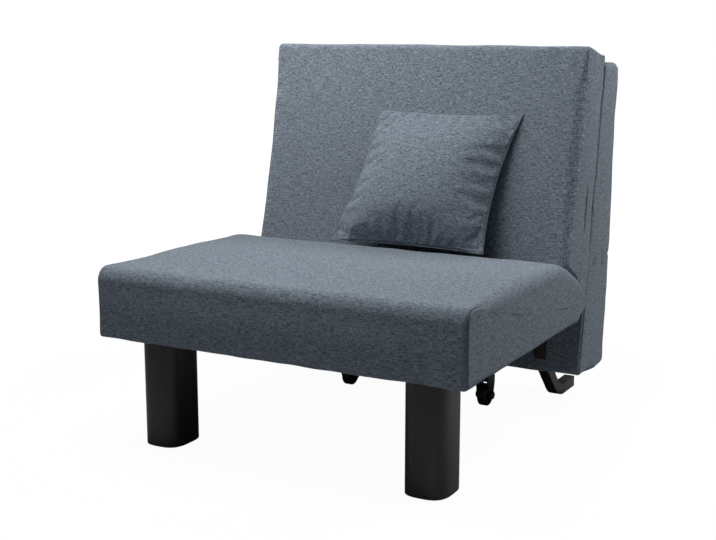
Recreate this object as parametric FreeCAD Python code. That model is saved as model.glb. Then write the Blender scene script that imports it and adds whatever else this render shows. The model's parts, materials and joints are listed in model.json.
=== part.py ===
import FreeCAD, Part
import math
import os
from FreeCAD import Placement, Rotation, Vector

# Convertible chair bed: a fixed seat on two front legs and two castors, a middle
# panel hinged to the seat's nose and a rear panel hinged to the middle panel's top.
# X runs across the seat, Y from the seat's front to the back, Z up, in millimetres.
# Until the last step Y counts from the seat's front face.

# Upholstery
cover_wall = 2.0
fit_gap = 0.3

# Seat
seat_width = 820.0
seat_bottom = 235.0
seat_thickness = 149.0
seat_depth = 661.0
nose_length = 141.0
nose_drop = 66.0
nose_set_back = 13.0
nose_tip_rise = 27.0
nose_under = 61.0
seat_front_round = 26.0
seat_edge_round = 14.0
nose_round = 34.0
nose_tip_round = 15.0

# Middle panel, which is the back rest
back_width = 776.0
back_lean = 12.4
back_face_length = 564.0
back_thickness = 115.0
back_foot_drop = 5.0
back_toe_depth = 126.0
back_toe_drop = 14.0
back_face_start = 70.0
back_front_round = 20.0
back_edge_round = 12.0
nose_gap = 1.5
back_heel_gap = 1.5

# Rear panel, which hangs behind the back rest
rear_width = 770.0
rear_lean = 1.42
rear_foot_length = 269.0
rear_heel_height = 71.3544
rear_heel_in = 20.0
rear_toe_reach = 85.0
rear_toe_rise = 14.0
rear_top_round = 18.0
rear_bend_round = 150.0
rear_foot_round = 13.0
rear_edge_round = 12.0
panel_gap = 12.0

# Steel frames and sprung wooden slats inside the three panels
frame_tube = 25.0
frame_wall = 1.5
frame_margin = 14.0
slat_width = 53.0
slat_thickness = 8.0
slat_bow = 9.0
slat_count = 5
slat_end_gap = 14.0
cap_floor = 2.0
cap_grip = 18.0
back_frame_depth = 84.0
back_frame_low = 68.0
seat_frame_front = 22.0
nose_core = 71.0
rear_frame_depth = 8.0
rear_frame_low = 68.0

# Cloth sheets that close the panels, in from the panels' edges
lining_side = 40.0
lining_seat_side = 45.0
lining_seat_rear = 25.0
lining_back_top = 12.0
lining_rear_low = 50.0

# Hinges
lower_hinge_out = 22.0
lower_hinge_z = 253.0
lower_hinge_in = 58.0
lower_eye_radius = 11.0
lower_pin_radius = 4.0
upper_hinge_in = 88.0
upper_hinge_drop = 6.0
upper_eye_radius = 5.5
upper_pin_radius = 3.0
leaf_thickness = 4.0
washer_thickness = 1.2
running_gap = 0.05
swing_gap = 2.0
bolt_head_height = 4.0
lower_bolt_across = 13.0
upper_bolt_across = 9.0
hinge_notch_reach = 60.0

# Front legs
leg_side_in = 103.5
leg_y = 98.6
leg_width = 91.0
leg_depth = 108.0
leg_shape = 3.0
leg_plate_size = 96.0
leg_plate_thickness = 5.0
leg_stud_radius = 5.0
leg_stud_reach = 42.0
leg_screw_spacing = 70.0
leg_screw_radius = 2.5
leg_screw_length = 16.0
glide_radius = 24.0
glide_thickness = 5.0
glide_stand = 1.5

# Castors
castor_x = 180.0
castor_in = 10.0
wheel_radius = 26.0
wheel_width = 22.0
tyre_thickness = 6.0
hub_recess = 4.0
axle_radius = 4.0
fork_wall = 3.5
fork_side_gap = 1.0
fork_boss_radius = 10.0
fork_boss_reach = 6.0
fork_top = 72.0
fork_length = 40.0
fork_crown = 7.0
strut_tube = 25.0
strut_knee_z = 135.0
strut_neck_z = 205.0

# Bent skid tubes under the rear panel
skid_side_in = 88.0
skid_tube = 25.0
skid_wall = 1.8
skid_tail_out = 110.9444
skid_heel_out = 6.9444
skid_shin_in = 77.0556
skid_shin_z = 100.0
skid_knee_in = 121.0556
skid_knee_z = 192.0
skid_heel_round = 70.0
skid_shin_round = 60.0
skid_knee_round = 34.0
plug_flange = 3.0
plug_insert = 14.0
gusset_thickness = 4.0
gusset_low = 48.0
gusset_high = 22.0
skid_notch_in = 20.0
skid_notch_drop = 30.0

# Loose cushion
pillow_x = 59.0
pillow_foot_in = 149.0
pillow_lean = 18.0
pillow_width = 384.0
pillow_height = 322.0
pillow_front_bulge = 50.0
pillow_back_bulge = 46.7
pillow_pull = 0.06
pillow_skew = 25.0
pillow_wall = 1.5

# Worked-out places
seat_top = seat_bottom + seat_thickness
seat_flat = seat_depth - nose_length
seat_frame_rear = seat_depth - nose_core
leg_x = seat_width / 2 - leg_side_in
castor_y = seat_depth - castor_in
lower_hinge_x = back_width / 2 - lower_hinge_in
upper_hinge_x = back_width / 2 - upper_hinge_in
skid_x = rear_width / 2 - skid_side_in
frame_bottom = seat_bottom + cover_wall + fit_gap + leg_plate_thickness
lower_hinge = Vector(0, seat_depth + lower_hinge_out, lower_hinge_z)
back_hinge_depth = seat_top - lower_hinge_z
rear_hinge_depth = back_thickness + panel_gap / 2
upper_hinge_rise = back_face_length - upper_hinge_drop
back_turn = 90.0 - back_lean
rear_turn = 90.0 + rear_lean
FAR = 2000.0


def leaning(origin, angle):
    """Frame whose Z leans back by an angle and whose Y points behind it."""
    return Placement(origin, Rotation(Vector(1, 0, 0), -angle))


# The back rest's frame: Y is the depth behind its front face, Z runs up that face
# from the level of the lower hinge.
back_frame_origin = leaning(lower_hinge, back_lean).multVec(Vector(0, -back_hinge_depth, 0))
back_place = leaning(back_frame_origin, back_lean)
upper_hinge = back_place.multVec(Vector(0, rear_hinge_depth, upper_hinge_rise))
# The rear panel's frame hangs from the upper hinge, parallel to its rear face.
rear_place = leaning(upper_hinge, rear_lean)
rear_length = (upper_hinge.z - rear_heel_height) / math.cos(math.radians(rear_lean))
rear_top_front = Vector(0, panel_gap / 2, -upper_hinge_drop - 1.0)
rear_toe = Vector(0, -rear_toe_reach, -rear_length + rear_toe_rise)
rear_front_angle = math.degrees(math.atan2(rear_top_front.y - rear_toe.y, rear_top_front.z - rear_toe.z))
# A second frame of the rear panel lies on its front face.
rear_front_place = leaning(rear_place.multVec(rear_top_front), rear_lean + rear_front_angle)
# The skids hang from the rear panel and reach down to the floor.
skid_tail_y = upper_hinge.y + skid_tail_out
skid_heel_y = upper_hinge.y + skid_heel_out
skid_shin_y = upper_hinge.y - skid_shin_in
skid_knee_y = upper_hinge.y - skid_knee_in
# The seat uses the same kind of frame, lying down: Y is the depth below the top.
seat_place = leaning(Vector(0, 0, seat_top), 90.0)


def yz_wire(corners):
    """Closed outline in the YZ plane from (y, z, radius) corners, rounded by arcs."""
    count = len(corners)
    edges = []
    ends = []
    for i in range(count):
        y, z, radius = corners[i]
        here = Vector(0, y, z)
        before = Vector(0, *corners[i - 1][:2]).sub(here).normalize()
        after = Vector(0, *corners[(i + 1) % count][:2]).sub(here).normalize()
        half = before.getAngle(after) / 2
        reach = radius / math.tan(half)
        start = here + before * reach
        end = here + after * reach
        middle = here + (before + after).normalize() * (radius / math.sin(half) - radius)
        ends.append((start, end))
        if radius > 0:
            edges.append(Part.Arc(start, middle, end).toShape())
    for i in range(count):
        start = ends[i - 1][1]
        end = ends[i][0]
        if start.distanceToPoint(end) > 1e-6:
            edges.append(Part.LineSegment(start, end).toShape())
    return Part.Wire(Part.__sortEdges__(edges))


def yz_prism(corners, x0, x1):
    """Solid with a YZ outline between two X values."""
    face = Part.Face(yz_wire(corners))
    face.translate(Vector(x0, 0, 0))
    return face.extrude(Vector(x1 - x0, 0, 0))


def slab(corners, width, edge_round, inset=0.0):
    """Upholstered block: outline across the width, its two side rims rounded."""
    face = Part.Face(yz_wire(corners))
    if inset:
        face = face.makeOffset2D(-inset)
    half = width / 2 - inset
    face.translate(Vector(-half, 0, 0))
    solid = face.extrude(Vector(2 * half, 0, 0))
    rims = [e for e in solid.Edges if e.BoundBox.XLength < 1e-6]
    return solid.makeFillet(edge_round - inset, rims)


def box(x0, x1, y0, y1, z0, z1):
    """Block between two corners."""
    return Part.makeBox(x1 - x0, y1 - y0, z1 - z0, Vector(x0, y0, z0))


def rod(radius, x0, x1, centre):
    """Round bar along X through a centre in the YZ plane."""
    return Part.makeCylinder(radius, x1 - x0, Vector(x0, centre.y, centre.z), Vector(1, 0, 0))


def hexagon(across, x0, x1, centre):
    """Hexagonal nut or bolt head along X."""
    corner = across / math.sqrt(3)
    turns = [math.radians(60 * i) for i in range(6)]
    corners = [(centre.y + corner * math.cos(t), centre.z + corner * math.sin(t), 0) for t in turns]
    return yz_prism(corners, x0, x1)


def placed(shape, place):
    """Shape carried from a panel's own frame into the chair's frame."""
    moved = shape.copy()
    moved.Placement = place.multiply(shape.Placement)
    return moved


def mirrored(shape):
    """Shape on the other side of the middle plane."""
    return shape.mirror(Vector(0, 0, 0), Vector(1, 0, 0))


def both_sides(shape):
    """A piece and its mirror image, as separate solids of one group."""
    return Part.makeCompound([shape, mirrored(shape)])


# Outlines of the three upholstered panels

def seat_outline():
    """Side outline of the seat, with the rounded nose that the back rest sits on."""
    return [
        (0, seat_bottom, 8),
        (0, seat_top, seat_front_round),
        (seat_flat, seat_top, 60),
        (seat_depth - nose_set_back, seat_top - nose_drop, nose_round),
        (seat_depth, seat_bottom + nose_tip_rise, nose_tip_round),
        (seat_depth - nose_under, seat_bottom, 14),
    ]


def back_outline():
    """Side outline of the back rest in its own frame, before the nose is cut out."""
    return [
        (0, back_face_length, back_front_round),
        (back_thickness, back_face_length, 12),
        (back_heel_depth(), -back_foot_drop, 12),
        (back_toe_depth, -back_toe_drop, 12),
        (0, back_face_start, 12),
    ]


def back_heel_depth():
    """Depth of the back rest's lower rear corner, just clear of the rear panel."""
    local = back_place.inverse()
    top = local.multVec(rear_place.multVec(rear_top_front))
    toe = local.multVec(rear_place.multVec(rear_toe))
    share = (top.z + back_foot_drop) / (top.z - toe.z)
    return top.y + share * (toe.y - top.y) - back_heel_gap


def rear_outline():
    """Side outline of the rear panel in its own frame, below the upper hinge."""
    heel_depth = rear_hinge_depth - rear_heel_in
    return [
        (rear_top_front.y, rear_top_front.z, 12),
        (rear_hinge_depth, rear_top_front.z, rear_top_round),
        (rear_hinge_depth, rear_foot_length - rear_length, rear_bend_round),
        (heel_depth, -rear_length, rear_foot_round),
        (rear_toe.y, rear_toe.z, 12),
    ]


# Notches that leave room for the hinges

def lower_hinge_notch(margin):
    """Room round a lower hinge in the back rest, open to the front and below."""
    reach = lower_eye_radius + margin
    x0 = lower_hinge_x - bolt_head_height - margin
    x1 = lower_hinge_x + 2 * leaf_thickness + washer_thickness + bolt_head_height + 2 * margin
    y0 = lower_hinge.y - hinge_notch_reach
    z0 = lower_hinge.z - hinge_notch_reach
    return box(x0, x1, y0, lower_hinge.y + reach, z0, lower_hinge.z + reach)


def seat_leaf_slot():
    """Slot in the seat's nose for the lower hinge leaf."""
    reach = lower_eye_radius + 1.0
    x0 = lower_hinge_x - 1.0
    x1 = lower_hinge_x + leaf_thickness + 1.0
    return box(x0, x1, seat_frame_rear + 1, lower_hinge.y, lower_hinge.z - reach, lower_hinge.z + reach)


def upper_hinge_notch():
    """Room round an upper hinge in the facing edges of both panels."""
    x0 = upper_hinge_x - bolt_head_height - swing_gap
    x1 = upper_hinge_x + 2 * leaf_thickness + washer_thickness + bolt_head_height + swing_gap
    return rod(upper_eye_radius + 1.5, x0, x1, upper_hinge)


def back_leaf_slot():
    """Slot in the back rest's rear wall for the upper hinge leaf, in its own frame."""
    x0 = upper_hinge_x - 1.0
    x1 = upper_hinge_x + leaf_thickness + 1.0
    top = upper_hinge_rise + upper_eye_radius + 1.0
    return box(x0, x1, back_frame_depth + frame_tube, FAR, back_frame_top() - frame_tube - 1, top)


def rear_leaf_slot():
    """Slot in the rear panel's front wall for the upper hinge leaf, on its front face."""
    x0 = rear_leaf_x() - 1.0
    x1 = x0 + leaf_thickness + 2.0
    return box(x0, x1, -20, rear_frame_depth, -frame_margin - frame_tube - 1, -1)


def rear_leaf_x():
    """Inner side of the rear panel's upper leaf."""
    return upper_hinge_x + leaf_thickness + washer_thickness + fit_gap


def skid_notch():
    """Room where a skid tube leaves the rear panel's lower front corner."""
    half = skid_tube / 2 + swing_gap
    return box(skid_x - half, skid_x + half, 0, skid_heel_y - skid_notch_in, 0, skid_notch_top())


def skid_notch_top():
    """Height up to which the rear panel is open round a skid tube."""
    return skid_knee_z - skid_notch_drop


# Frames, slats and caps, in a frame whose Y = 0 is the face that carries the slats

def rail(x0, x1, z0, z1):
    """Outer block and inner hollow of one square tube of a frame."""
    outer = box(x0, x1, 0, frame_tube, z0, z1)
    w = frame_wall
    inner = box(x0 + w, x1 - w, w, frame_tube - w, z0 + w, z1 - w)
    return outer, inner


def tube_frame(width, low, high, cross_rails=()):
    """Welded rectangle of square tube, with cross rails starting at given heights."""
    half = width / 2
    t = frame_tube
    runs = [rail(-half, -half + t, low, high), rail(half - t, half, low, high)]
    for z in (low, high - t, *cross_rails):
        runs.append(rail(-half, half, z, z + t))
    outer = runs[0][0].multiFuse([run[0] for run in runs[1:]]).removeSplitter()
    inner = runs[0][1].multiFuse([run[1] for run in runs[1:]])
    return outer.cut(inner)


def slat_starts(low, high):
    """Lower edges of the slats, evenly spread between the two end rails."""
    first = low + frame_tube + slat_end_gap
    last = high - frame_tube - slat_end_gap - slat_width
    step = (last - first) / (slat_count - 1)
    return [first + step * i for i in range(slat_count)]


def slats(width, low, high):
    """Bowed slats whose ends sit in the caps on the side rails."""
    end_x = width / 2 - frame_tube + cap_grip
    face = -cap_floor
    crown = face - slat_bow
    lower = Part.Arc(Vector(-end_x, face, 0), Vector(0, crown, 0), Vector(end_x, face, 0))
    up = Vector(0, -slat_thickness, 0)
    a = Vector(-end_x, face, 0)
    b = Vector(end_x, face, 0)
    upper = Part.Arc(a + up, Vector(0, crown, 0) + up, b + up)
    edges = [lower.toShape(), upper.toShape(), Part.LineSegment(a, a + up).toShape(),
             Part.LineSegment(b, b + up).toShape()]
    face_shape = Part.Face(Part.Wire(Part.__sortEdges__(edges)))
    one = face_shape.extrude(Vector(0, 0, slat_width))
    return Part.makeCompound([one.translated(Vector(0, 0, z)) for z in slat_starts(low, high)])


def slat_caps(width, low, high):
    """Plastic pockets on the side rails that hold the slat ends."""
    half = width / 2
    slope = 2 * slat_bow / (half - frame_tube + cap_grip) * cap_grip
    rise = slope + slat_thickness + fit_gap
    outer = box(half - frame_tube, half, -cap_floor - rise - cap_floor, 0, -3, slat_width + 3)
    pocket = box(half - frame_tube - 1, half - frame_tube + cap_grip + fit_gap,
                 -cap_floor - rise, -cap_floor + fit_gap, -fit_gap, slat_width + fit_gap)
    one = outer.cut(pocket)
    row = [one.translated(Vector(0, 0, z)) for z in slat_starts(low, high)]
    return Part.makeCompound(row + [mirrored(cap) for cap in row])


def slat_crown():
    """Height of the slats' crown above the face that carries them."""
    return cap_floor + slat_bow + slat_thickness + fit_gap


def leaf(eye, eye_radius, hole_radius, foot_a, foot_b, x0):
    """Flat hinge leaf: a round eye joined to a straight foot that is welded on."""
    along = (foot_a + foot_b) * 0.5 - eye
    across = Vector(0, -along.z, along.y).normalize() * eye_radius
    if across.dot(foot_a - foot_b) < 0:
        across = across * -1
    corners = [(p.y, p.z, 0) for p in (foot_a, foot_b, eye - across, eye + across)]
    plate = yz_prism(corners, x0, x0 + leaf_thickness)
    plate = plate.fuse(rod(eye_radius, x0, x0 + leaf_thickness, eye)).removeSplitter()
    return plate.cut(rod(hole_radius, x0 - 1, x0 + leaf_thickness + 1, eye))


# Seat

def seat_frame_width():
    """Width over the seat frame's side rails."""
    return seat_width - 2 * frame_margin


def seat_core_place():
    """Frame of the seat's slats: on top of the tubes."""
    depth = seat_top - frame_bottom - frame_tube
    return seat_place.multiply(Placement(Vector(0, depth, 0), Rotation()))


def seat_frame():
    """Steel frame of the seat with a cross rail over the front legs."""
    cross = leg_y - frame_tube / 2
    frame = placed(tube_frame(seat_frame_width(), seat_frame_front, seat_frame_rear, (cross,)), seat_core_place())
    for x in leg_screw_places():
        hole = Part.makeCylinder(leg_screw_radius, frame_wall + 2, Vector(x, leg_y, frame_bottom - 1))
        frame = frame.cut(hole)
    return frame


def seat_shell():
    """Hollow cover of the whole seat, before its underside is opened."""
    outline = seat_outline()
    outer = slab(outline, seat_width, seat_edge_round)
    return outer.cut(slab(outline, seat_width, seat_edge_round, cover_wall))


def seat_window(gap):
    """Opening in the seat's underside that the lining fills."""
    half = seat_width / 2 - lining_seat_side - gap
    rear = seat_depth - nose_under - lining_seat_rear - gap
    return box(-half, half, lining_side + gap, rear, 0, seat_bottom + cover_wall + 0.1)


def strut_hole():
    """Room for a castor strut in the seat's underside."""
    half = strut_tube / 2 + 1
    y = strut_top_y()
    return box(castor_x - half, castor_x + half, y - half, y + half, strut_neck_z, frame_bottom)


def seat_cover():
    """Fabric over the seat, open below, with holes for the hinge leaves and struts."""
    cover = seat_shell().cut(seat_window(0))
    for room in (seat_leaf_slot(), strut_hole()):
        cover = cover.cut(room).cut(mirrored(room))
    return cover


def seat_lining():
    """Thin sheet under the seat, cut out for the studs and the castor struts."""
    lining = seat_shell().common(seat_window(fit_gap))
    stud = Part.makeCylinder(leg_stud_radius + 1, 60, Vector(leg_x, leg_y, seat_bottom - 30))
    for room in (stud, strut_hole()):
        lining = lining.cut(room).cut(mirrored(room))
    return lining


def seat_foam():
    """Foam block between the slats and the cover."""
    floor = frame_bottom + frame_tube + slat_crown()
    foam = slab(seat_outline(), seat_width, seat_edge_round, cover_wall + fit_gap)
    return foam.common(box(-FAR, FAR, -FAR, FAR, floor, FAR))


def seat_leaf():
    """Lower hinge leaf of the seat, welded to the rear rail."""
    low = Vector(0, seat_frame_rear, lower_hinge_z - lower_eye_radius + 1)
    high = Vector(0, seat_frame_rear, frame_bottom + frame_tube)
    return leaf(lower_hinge, lower_eye_radius, lower_pin_radius, low, high, lower_hinge_x)


# Front legs

def leg_section(z):
    """Rounded oblong outline of a leg, a superellipse."""
    count = 24
    points = []
    for i in range(count):
        turn = 2 * math.pi * i / count
        c = math.cos(turn)
        s = math.sin(turn)
        x = leg_width / 2 * math.copysign(abs(c) ** (2 / leg_shape), c)
        y = leg_depth / 2 * math.copysign(abs(s) ** (2 / leg_shape), s)
        points.append(Vector(leg_x + x, leg_y + y, z))
    curve = Part.BSplineCurve()
    curve.interpolate(Points=points, PeriodicFlag=True)
    return Part.Wire(curve.toShape())


def front_leg():
    """Solid column with a bore for the stud and a recess for the glide."""
    top = seat_bottom - fit_gap
    foot = leg_section(glide_stand)
    column = Part.Face(foot).extrude(Vector(0, 0, top - glide_stand))
    bore = Part.makeCylinder(leg_stud_radius, leg_stud_reach, Vector(leg_x, leg_y, top - leg_stud_reach))
    recess = Part.makeCylinder(glide_radius, glide_thickness - glide_stand, Vector(leg_x, leg_y, glide_stand))
    return column.cut(bore).cut(recess)


def leg_screw_places():
    """X of the screws that hold the two leg plates to the cross rail."""
    return [side * leg_x + step * leg_screw_spacing / 2 for side in (-1, 1) for step in (-1, 1)]


def leg_plate():
    """Steel plate between a leg and the frame, bored for the stud and the screws."""
    half = leg_plate_size / 2
    z = frame_bottom - leg_plate_thickness
    plate = box(leg_x - half, leg_x + half, leg_y - half, leg_y + half, z, frame_bottom)
    upright = [e for e in plate.Edges if e.BoundBox.ZLength > leg_plate_thickness / 2]
    plate = plate.makeFillet(10, upright)
    plate = plate.cut(Part.makeCylinder(leg_stud_radius, FAR, Vector(leg_x, leg_y, 0)))
    for step in (-1, 1):
        plate = plate.cut(leg_screw(leg_x + step * leg_screw_spacing / 2))
    return plate


def leg_screw(x):
    """Countersunk screw, flush with the underside of the plate."""
    z = frame_bottom - leg_plate_thickness
    head = Part.makeCone(2 * leg_screw_radius, leg_screw_radius, leg_screw_radius, Vector(x, leg_y, z))
    shank = Part.makeCylinder(leg_screw_radius, leg_screw_length, Vector(x, leg_y, z))
    return head.fuse(shank).removeSplitter()


def leg_stud():
    """Threaded stud from the plate down into the leg."""
    low = seat_bottom - fit_gap - leg_stud_reach
    return Part.makeCylinder(leg_stud_radius, frame_bottom - low, Vector(leg_x, leg_y, low))


def leg_glide():
    """Round glide under a leg."""
    disc = Part.makeCylinder(glide_radius, glide_thickness, Vector(leg_x, leg_y, 0))
    return disc.makeChamfer(0.8, [e for e in disc.Edges if abs(e.CenterOfMass.z) < 0.1 and e.Closed])


# Castors

def strut_top_y():
    """Where a castor strut meets the seat's rear rail."""
    return seat_frame_rear - frame_tube / 2


def tube_path(corners):
    """Open path in the YZ plane from (y, z, radius) corners, bends as arcs."""
    points = [Vector(0, y, z) for y, z, _ in corners]
    edges = []
    start = points[0]
    for i in range(1, len(points) - 1):
        before = points[i - 1].sub(points[i]).normalize()
        after = points[i + 1].sub(points[i]).normalize()
        half = before.getAngle(after) / 2
        radius = corners[i][2]
        reach = radius / math.tan(half)
        a = points[i] + before * reach
        b = points[i] + after * reach
        middle = points[i] + (before + after).normalize() * (radius / math.sin(half) - radius)
        edges.append(Part.LineSegment(start, a).toShape())
        edges.append(Part.Arc(a, middle, b).toShape())
        start = b
    edges.append(Part.LineSegment(start, points[-1]).toShape())
    return Part.Wire(edges)


def square_wire(size, point, along):
    """Square section across a path that runs in the YZ plane."""
    side = Vector(size / 2, 0, 0)
    up = Vector(0, -along.z, along.y).normalize() * (size / 2)
    corners = [point - side - up, point + side - up, point + side + up, point - side + up]
    return Part.makePolygon(corners + [corners[0]])


def bent_tube(corners, size, wall, x):
    """Hollow square tube bent along a path in a plane of constant X."""
    path = tube_path(corners)
    start = Vector(0, corners[0][0], corners[0][1])
    along = Vector(0, corners[1][0], corners[1][1]).sub(start)
    outer = path.makePipeShell([square_wire(size, start, along)], True, True)
    inner = path.makePipeShell([square_wire(size - 2 * wall, start, along)], True, True)
    tube = outer.cut(inner)
    tube.translate(Vector(x, 0, 0))
    return tube


def castor_strut():
    """Bent tube from the seat's rear rail down to a castor fork."""
    top_y = strut_top_y()
    corners = [
        (top_y, frame_bottom, 0),
        (top_y, strut_neck_z, 22),
        (castor_y, strut_knee_z, 22),
        (castor_y, fork_top + fork_crown, 0),
    ]
    return bent_tube(corners, strut_tube, frame_wall, castor_x)


def castor_fork():
    """Fork with a crown under the strut, two cheeks and round axle bosses."""
    inner = wheel_width / 2 + fork_side_gap
    outer = inner + fork_wall
    axle = Vector(0, castor_y, wheel_radius)
    half = fork_length / 2
    crown_low = fork_top - 10
    cheek = [
        (castor_y - half, fork_top, 0),
        (castor_y + half, fork_top, 0),
        (castor_y + half, crown_low - 6, 6),
        (castor_y + fork_boss_radius + 1, wheel_radius - fork_boss_radius, 8),
        (castor_y - fork_boss_radius - 1, wheel_radius - fork_boss_radius, 8),
        (castor_y - half, crown_low - 6, 6),
    ]
    body = yz_prism(cheek, -outer, outer)
    body = body.cut(yz_prism([(castor_y - FAR, 0, 0), (castor_y + FAR, 0, 0),
                              (castor_y + FAR, crown_low, 0), (castor_y - FAR, crown_low, 0)],
                             -inner, inner))
    reach = outer + fork_boss_reach
    for x0, x1 in ((-reach, -outer), (outer, reach)):
        boss = rod(fork_boss_radius, x0, x1, axle)
        rim = [e for e in boss.Edges if e.Closed and abs(abs(e.CenterOfMass.x) - reach) < 0.1]
        body = body.fuse(boss.makeFillet(3.5, rim))
    neck = Part.makeCylinder(strut_tube / 2, fork_crown, Vector(0, castor_y, fork_top))
    body = body.fuse(neck).removeSplitter()
    body = body.cut(rod(axle_radius, -FAR, FAR, axle))
    body.translate(Vector(castor_x, 0, 0))
    return body


def castor_axle():
    """Plain pin through the fork and the wheel."""
    reach = wheel_width / 2 + fork_side_gap + fork_wall + fork_boss_reach
    return rod(axle_radius, castor_x - reach, castor_x + reach, Vector(0, castor_y, wheel_radius))


def revolved(profile):
    """Ring about the castor axle from (radius, x) profile corners."""
    points = [Vector(castor_x + x, castor_y, wheel_radius + r) for r, x in profile]
    face = Part.Face(Part.makePolygon(points + [points[0]]))
    return face.revolve(Vector(castor_x, castor_y, wheel_radius), Vector(1, 0, 0), 360)


def castor_hub():
    """Wheel hub with a long nave and a thinner web under its rim."""
    half = wheel_width / 2
    rim = wheel_radius - tyre_thickness
    web = half - hub_recess
    nave = axle_radius + 5
    lip = rim - 3
    return revolved([
        (axle_radius + running_gap, -half), (nave, -half), (nave, -web), (lip, -web), (lip, -half),
        (rim, -half), (rim, half), (lip, half), (lip, web), (nave, web), (nave, half),
        (axle_radius + running_gap, half),
    ])


def castor_tyre():
    """Soft tyre with rounded shoulders round the hub."""
    rim = wheel_radius - tyre_thickness
    half = wheel_width / 2
    ring = revolved([(rim, -half), (wheel_radius, -half), (wheel_radius, half), (rim, half)])
    crown = [e for e in ring.Edges if e.Closed and abs(e.BoundBox.ZLength - 2 * wheel_radius) < 0.1]
    return ring.makeFillet(4, crown)


# Back rest

def back_frame_width():
    """Width over the back rest frame's side rails."""
    return back_width - 2 * frame_margin


def back_frame_top():
    """Upper end of the back rest's frame along its face."""
    return back_face_length - frame_margin + 2


def back_core_place():
    """Frame of the back rest's slats, which face the sitter."""
    return back_place.multiply(Placement(Vector(0, back_frame_depth, 0), Rotation()))


def back_block(inset):
    """Back rest's outer form, hollowed where it sits over the seat's nose."""
    block = placed(slab(back_outline(), back_width, back_edge_round, inset), back_place)
    nose = Part.Face(yz_wire(seat_outline())).makeOffset2D(nose_gap + inset)
    nose.translate(Vector(-FAR / 2, 0, 0))
    return block.cut(nose.extrude(Vector(FAR, 0, 0)))


def back_shell():
    """Hollow cover of the back rest before its slots and its rear opening."""
    return back_block(0).cut(back_block(cover_wall))


def back_window(gap):
    """Opening in the back rest's rear wall that the lining fills."""
    half = back_width / 2 - lining_side - gap
    high = back_frame_top() - frame_tube - lining_back_top - gap
    low = back_frame_low + gap
    return placed(box(-half, half, back_frame_depth + frame_tube + 1.5, FAR, low, high), back_place)


def cut_hinge_room(shape):
    """Take both hinges' room out of a layer of the back rest."""
    slot = placed(back_leaf_slot(), back_place)
    for room in (lower_hinge_notch(swing_gap), upper_hinge_notch(), slot):
        shape = shape.cut(room).cut(mirrored(room))
    return shape


def back_cover():
    """Fabric over the back rest."""
    return cut_hinge_room(back_shell().cut(back_window(0)))


def back_lining():
    """Thin sheet that closes the back rest's rear side."""
    return back_shell().common(back_window(fit_gap))


def back_foam():
    """Foam between the slats and the front of the back rest."""
    depth = back_frame_depth - slat_crown()
    room = placed(box(-FAR, FAR, -FAR, depth, -FAR, FAR), back_place)
    return cut_hinge_room(back_block(cover_wall + fit_gap).common(room))


def back_frame():
    """Steel frame of the back rest."""
    return placed(tube_frame(back_frame_width(), back_frame_low, back_frame_top()), back_core_place())


def back_lower_leaf():
    """Lower hinge leaf of the back rest, welded under its bottom rail."""
    x0 = lower_hinge_x + leaf_thickness + washer_thickness + fit_gap
    front = back_place.multVec(Vector(0, back_frame_depth, back_frame_low))
    back = back_place.multVec(Vector(0, back_frame_depth + frame_tube, back_frame_low))
    return leaf(lower_hinge, lower_eye_radius, lower_pin_radius + running_gap, front, back, x0)


def back_upper_leaf():
    """Upper hinge leaf of the back rest, welded behind its top rail."""
    depth = back_frame_depth + frame_tube
    low = back_place.multVec(Vector(0, depth, back_frame_top() - frame_tube))
    high = back_place.multVec(Vector(0, depth, back_frame_top()))
    return leaf(upper_hinge, upper_eye_radius, upper_pin_radius, low, high, upper_hinge_x)


# Rear panel

def rear_frame_width():
    """Width over the rear panel frame's side rails."""
    return rear_width - 2 * frame_margin


def rear_front_length():
    """Length of the rear panel's front face from top corner to toe."""
    return rear_top_front.distanceToPoint(rear_toe)


def rear_core_place():
    """Frame of the rear panel's slats, which face away from the back rest."""
    depth = rear_frame_depth + frame_tube
    turned = Placement(Vector(0, depth, 0), Rotation(Vector(0, 0, 1), 180))
    return rear_front_place.multiply(turned)


def rear_span():
    """Lower and upper end of the rear panel's frame along its front face."""
    return -rear_front_length() + rear_frame_low, -frame_margin


def rear_shell():
    """Hollow cover of the rear panel before its slots and its front opening."""
    outline = rear_outline()
    outer = slab(outline, rear_width, rear_edge_round)
    inner = slab(outline, rear_width, rear_edge_round, cover_wall)
    return placed(outer.cut(inner), rear_place)


def rear_window(gap):
    """Opening in the rear panel's front wall that the lining fills."""
    half = rear_width / 2 - lining_side - gap
    low, high = rear_span()
    room = box(-half, half, -10, cover_wall + 1, low + lining_rear_low + gap, high - frame_tube - gap)
    return placed(room, rear_front_place)


def cut_rear_room(shape):
    """Take the upper hinge's and the skids' room out of a layer of the rear panel."""
    slot = placed(rear_leaf_slot(), rear_front_place)
    for room in (upper_hinge_notch(), slot, skid_notch()):
        shape = shape.cut(room).cut(mirrored(room))
    return shape


def rear_cover():
    """Fabric over the rear panel."""
    return cut_rear_room(rear_shell().cut(rear_window(0)))


def rear_lining():
    """Thin sheet that closes the rear panel's front side."""
    return rear_shell().common(rear_window(fit_gap))


def rear_foam():
    """Foam wedge between the slats and the rear face."""
    depth = rear_frame_depth + frame_tube + slat_crown()
    block = placed(slab(rear_outline(), rear_width, rear_edge_round, cover_wall + fit_gap), rear_place)
    room = placed(box(-FAR, FAR, depth, FAR, -FAR, FAR), rear_front_place)
    return cut_rear_room(block.common(room))


def rear_frame():
    """Steel frame of the rear panel."""
    low, high = rear_span()
    return placed(tube_frame(rear_frame_width(), low, high), rear_core_place())


def rear_upper_leaf():
    """Upper hinge leaf of the rear panel, welded before its top rail."""
    top = rear_span()[1]
    low = rear_front_place.multVec(Vector(0, rear_frame_depth, top - frame_tube))
    high = rear_front_place.multVec(Vector(0, rear_frame_depth, top))
    return leaf(upper_hinge, upper_eye_radius, upper_pin_radius + running_gap, low, high, rear_leaf_x())


# Skids

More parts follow.
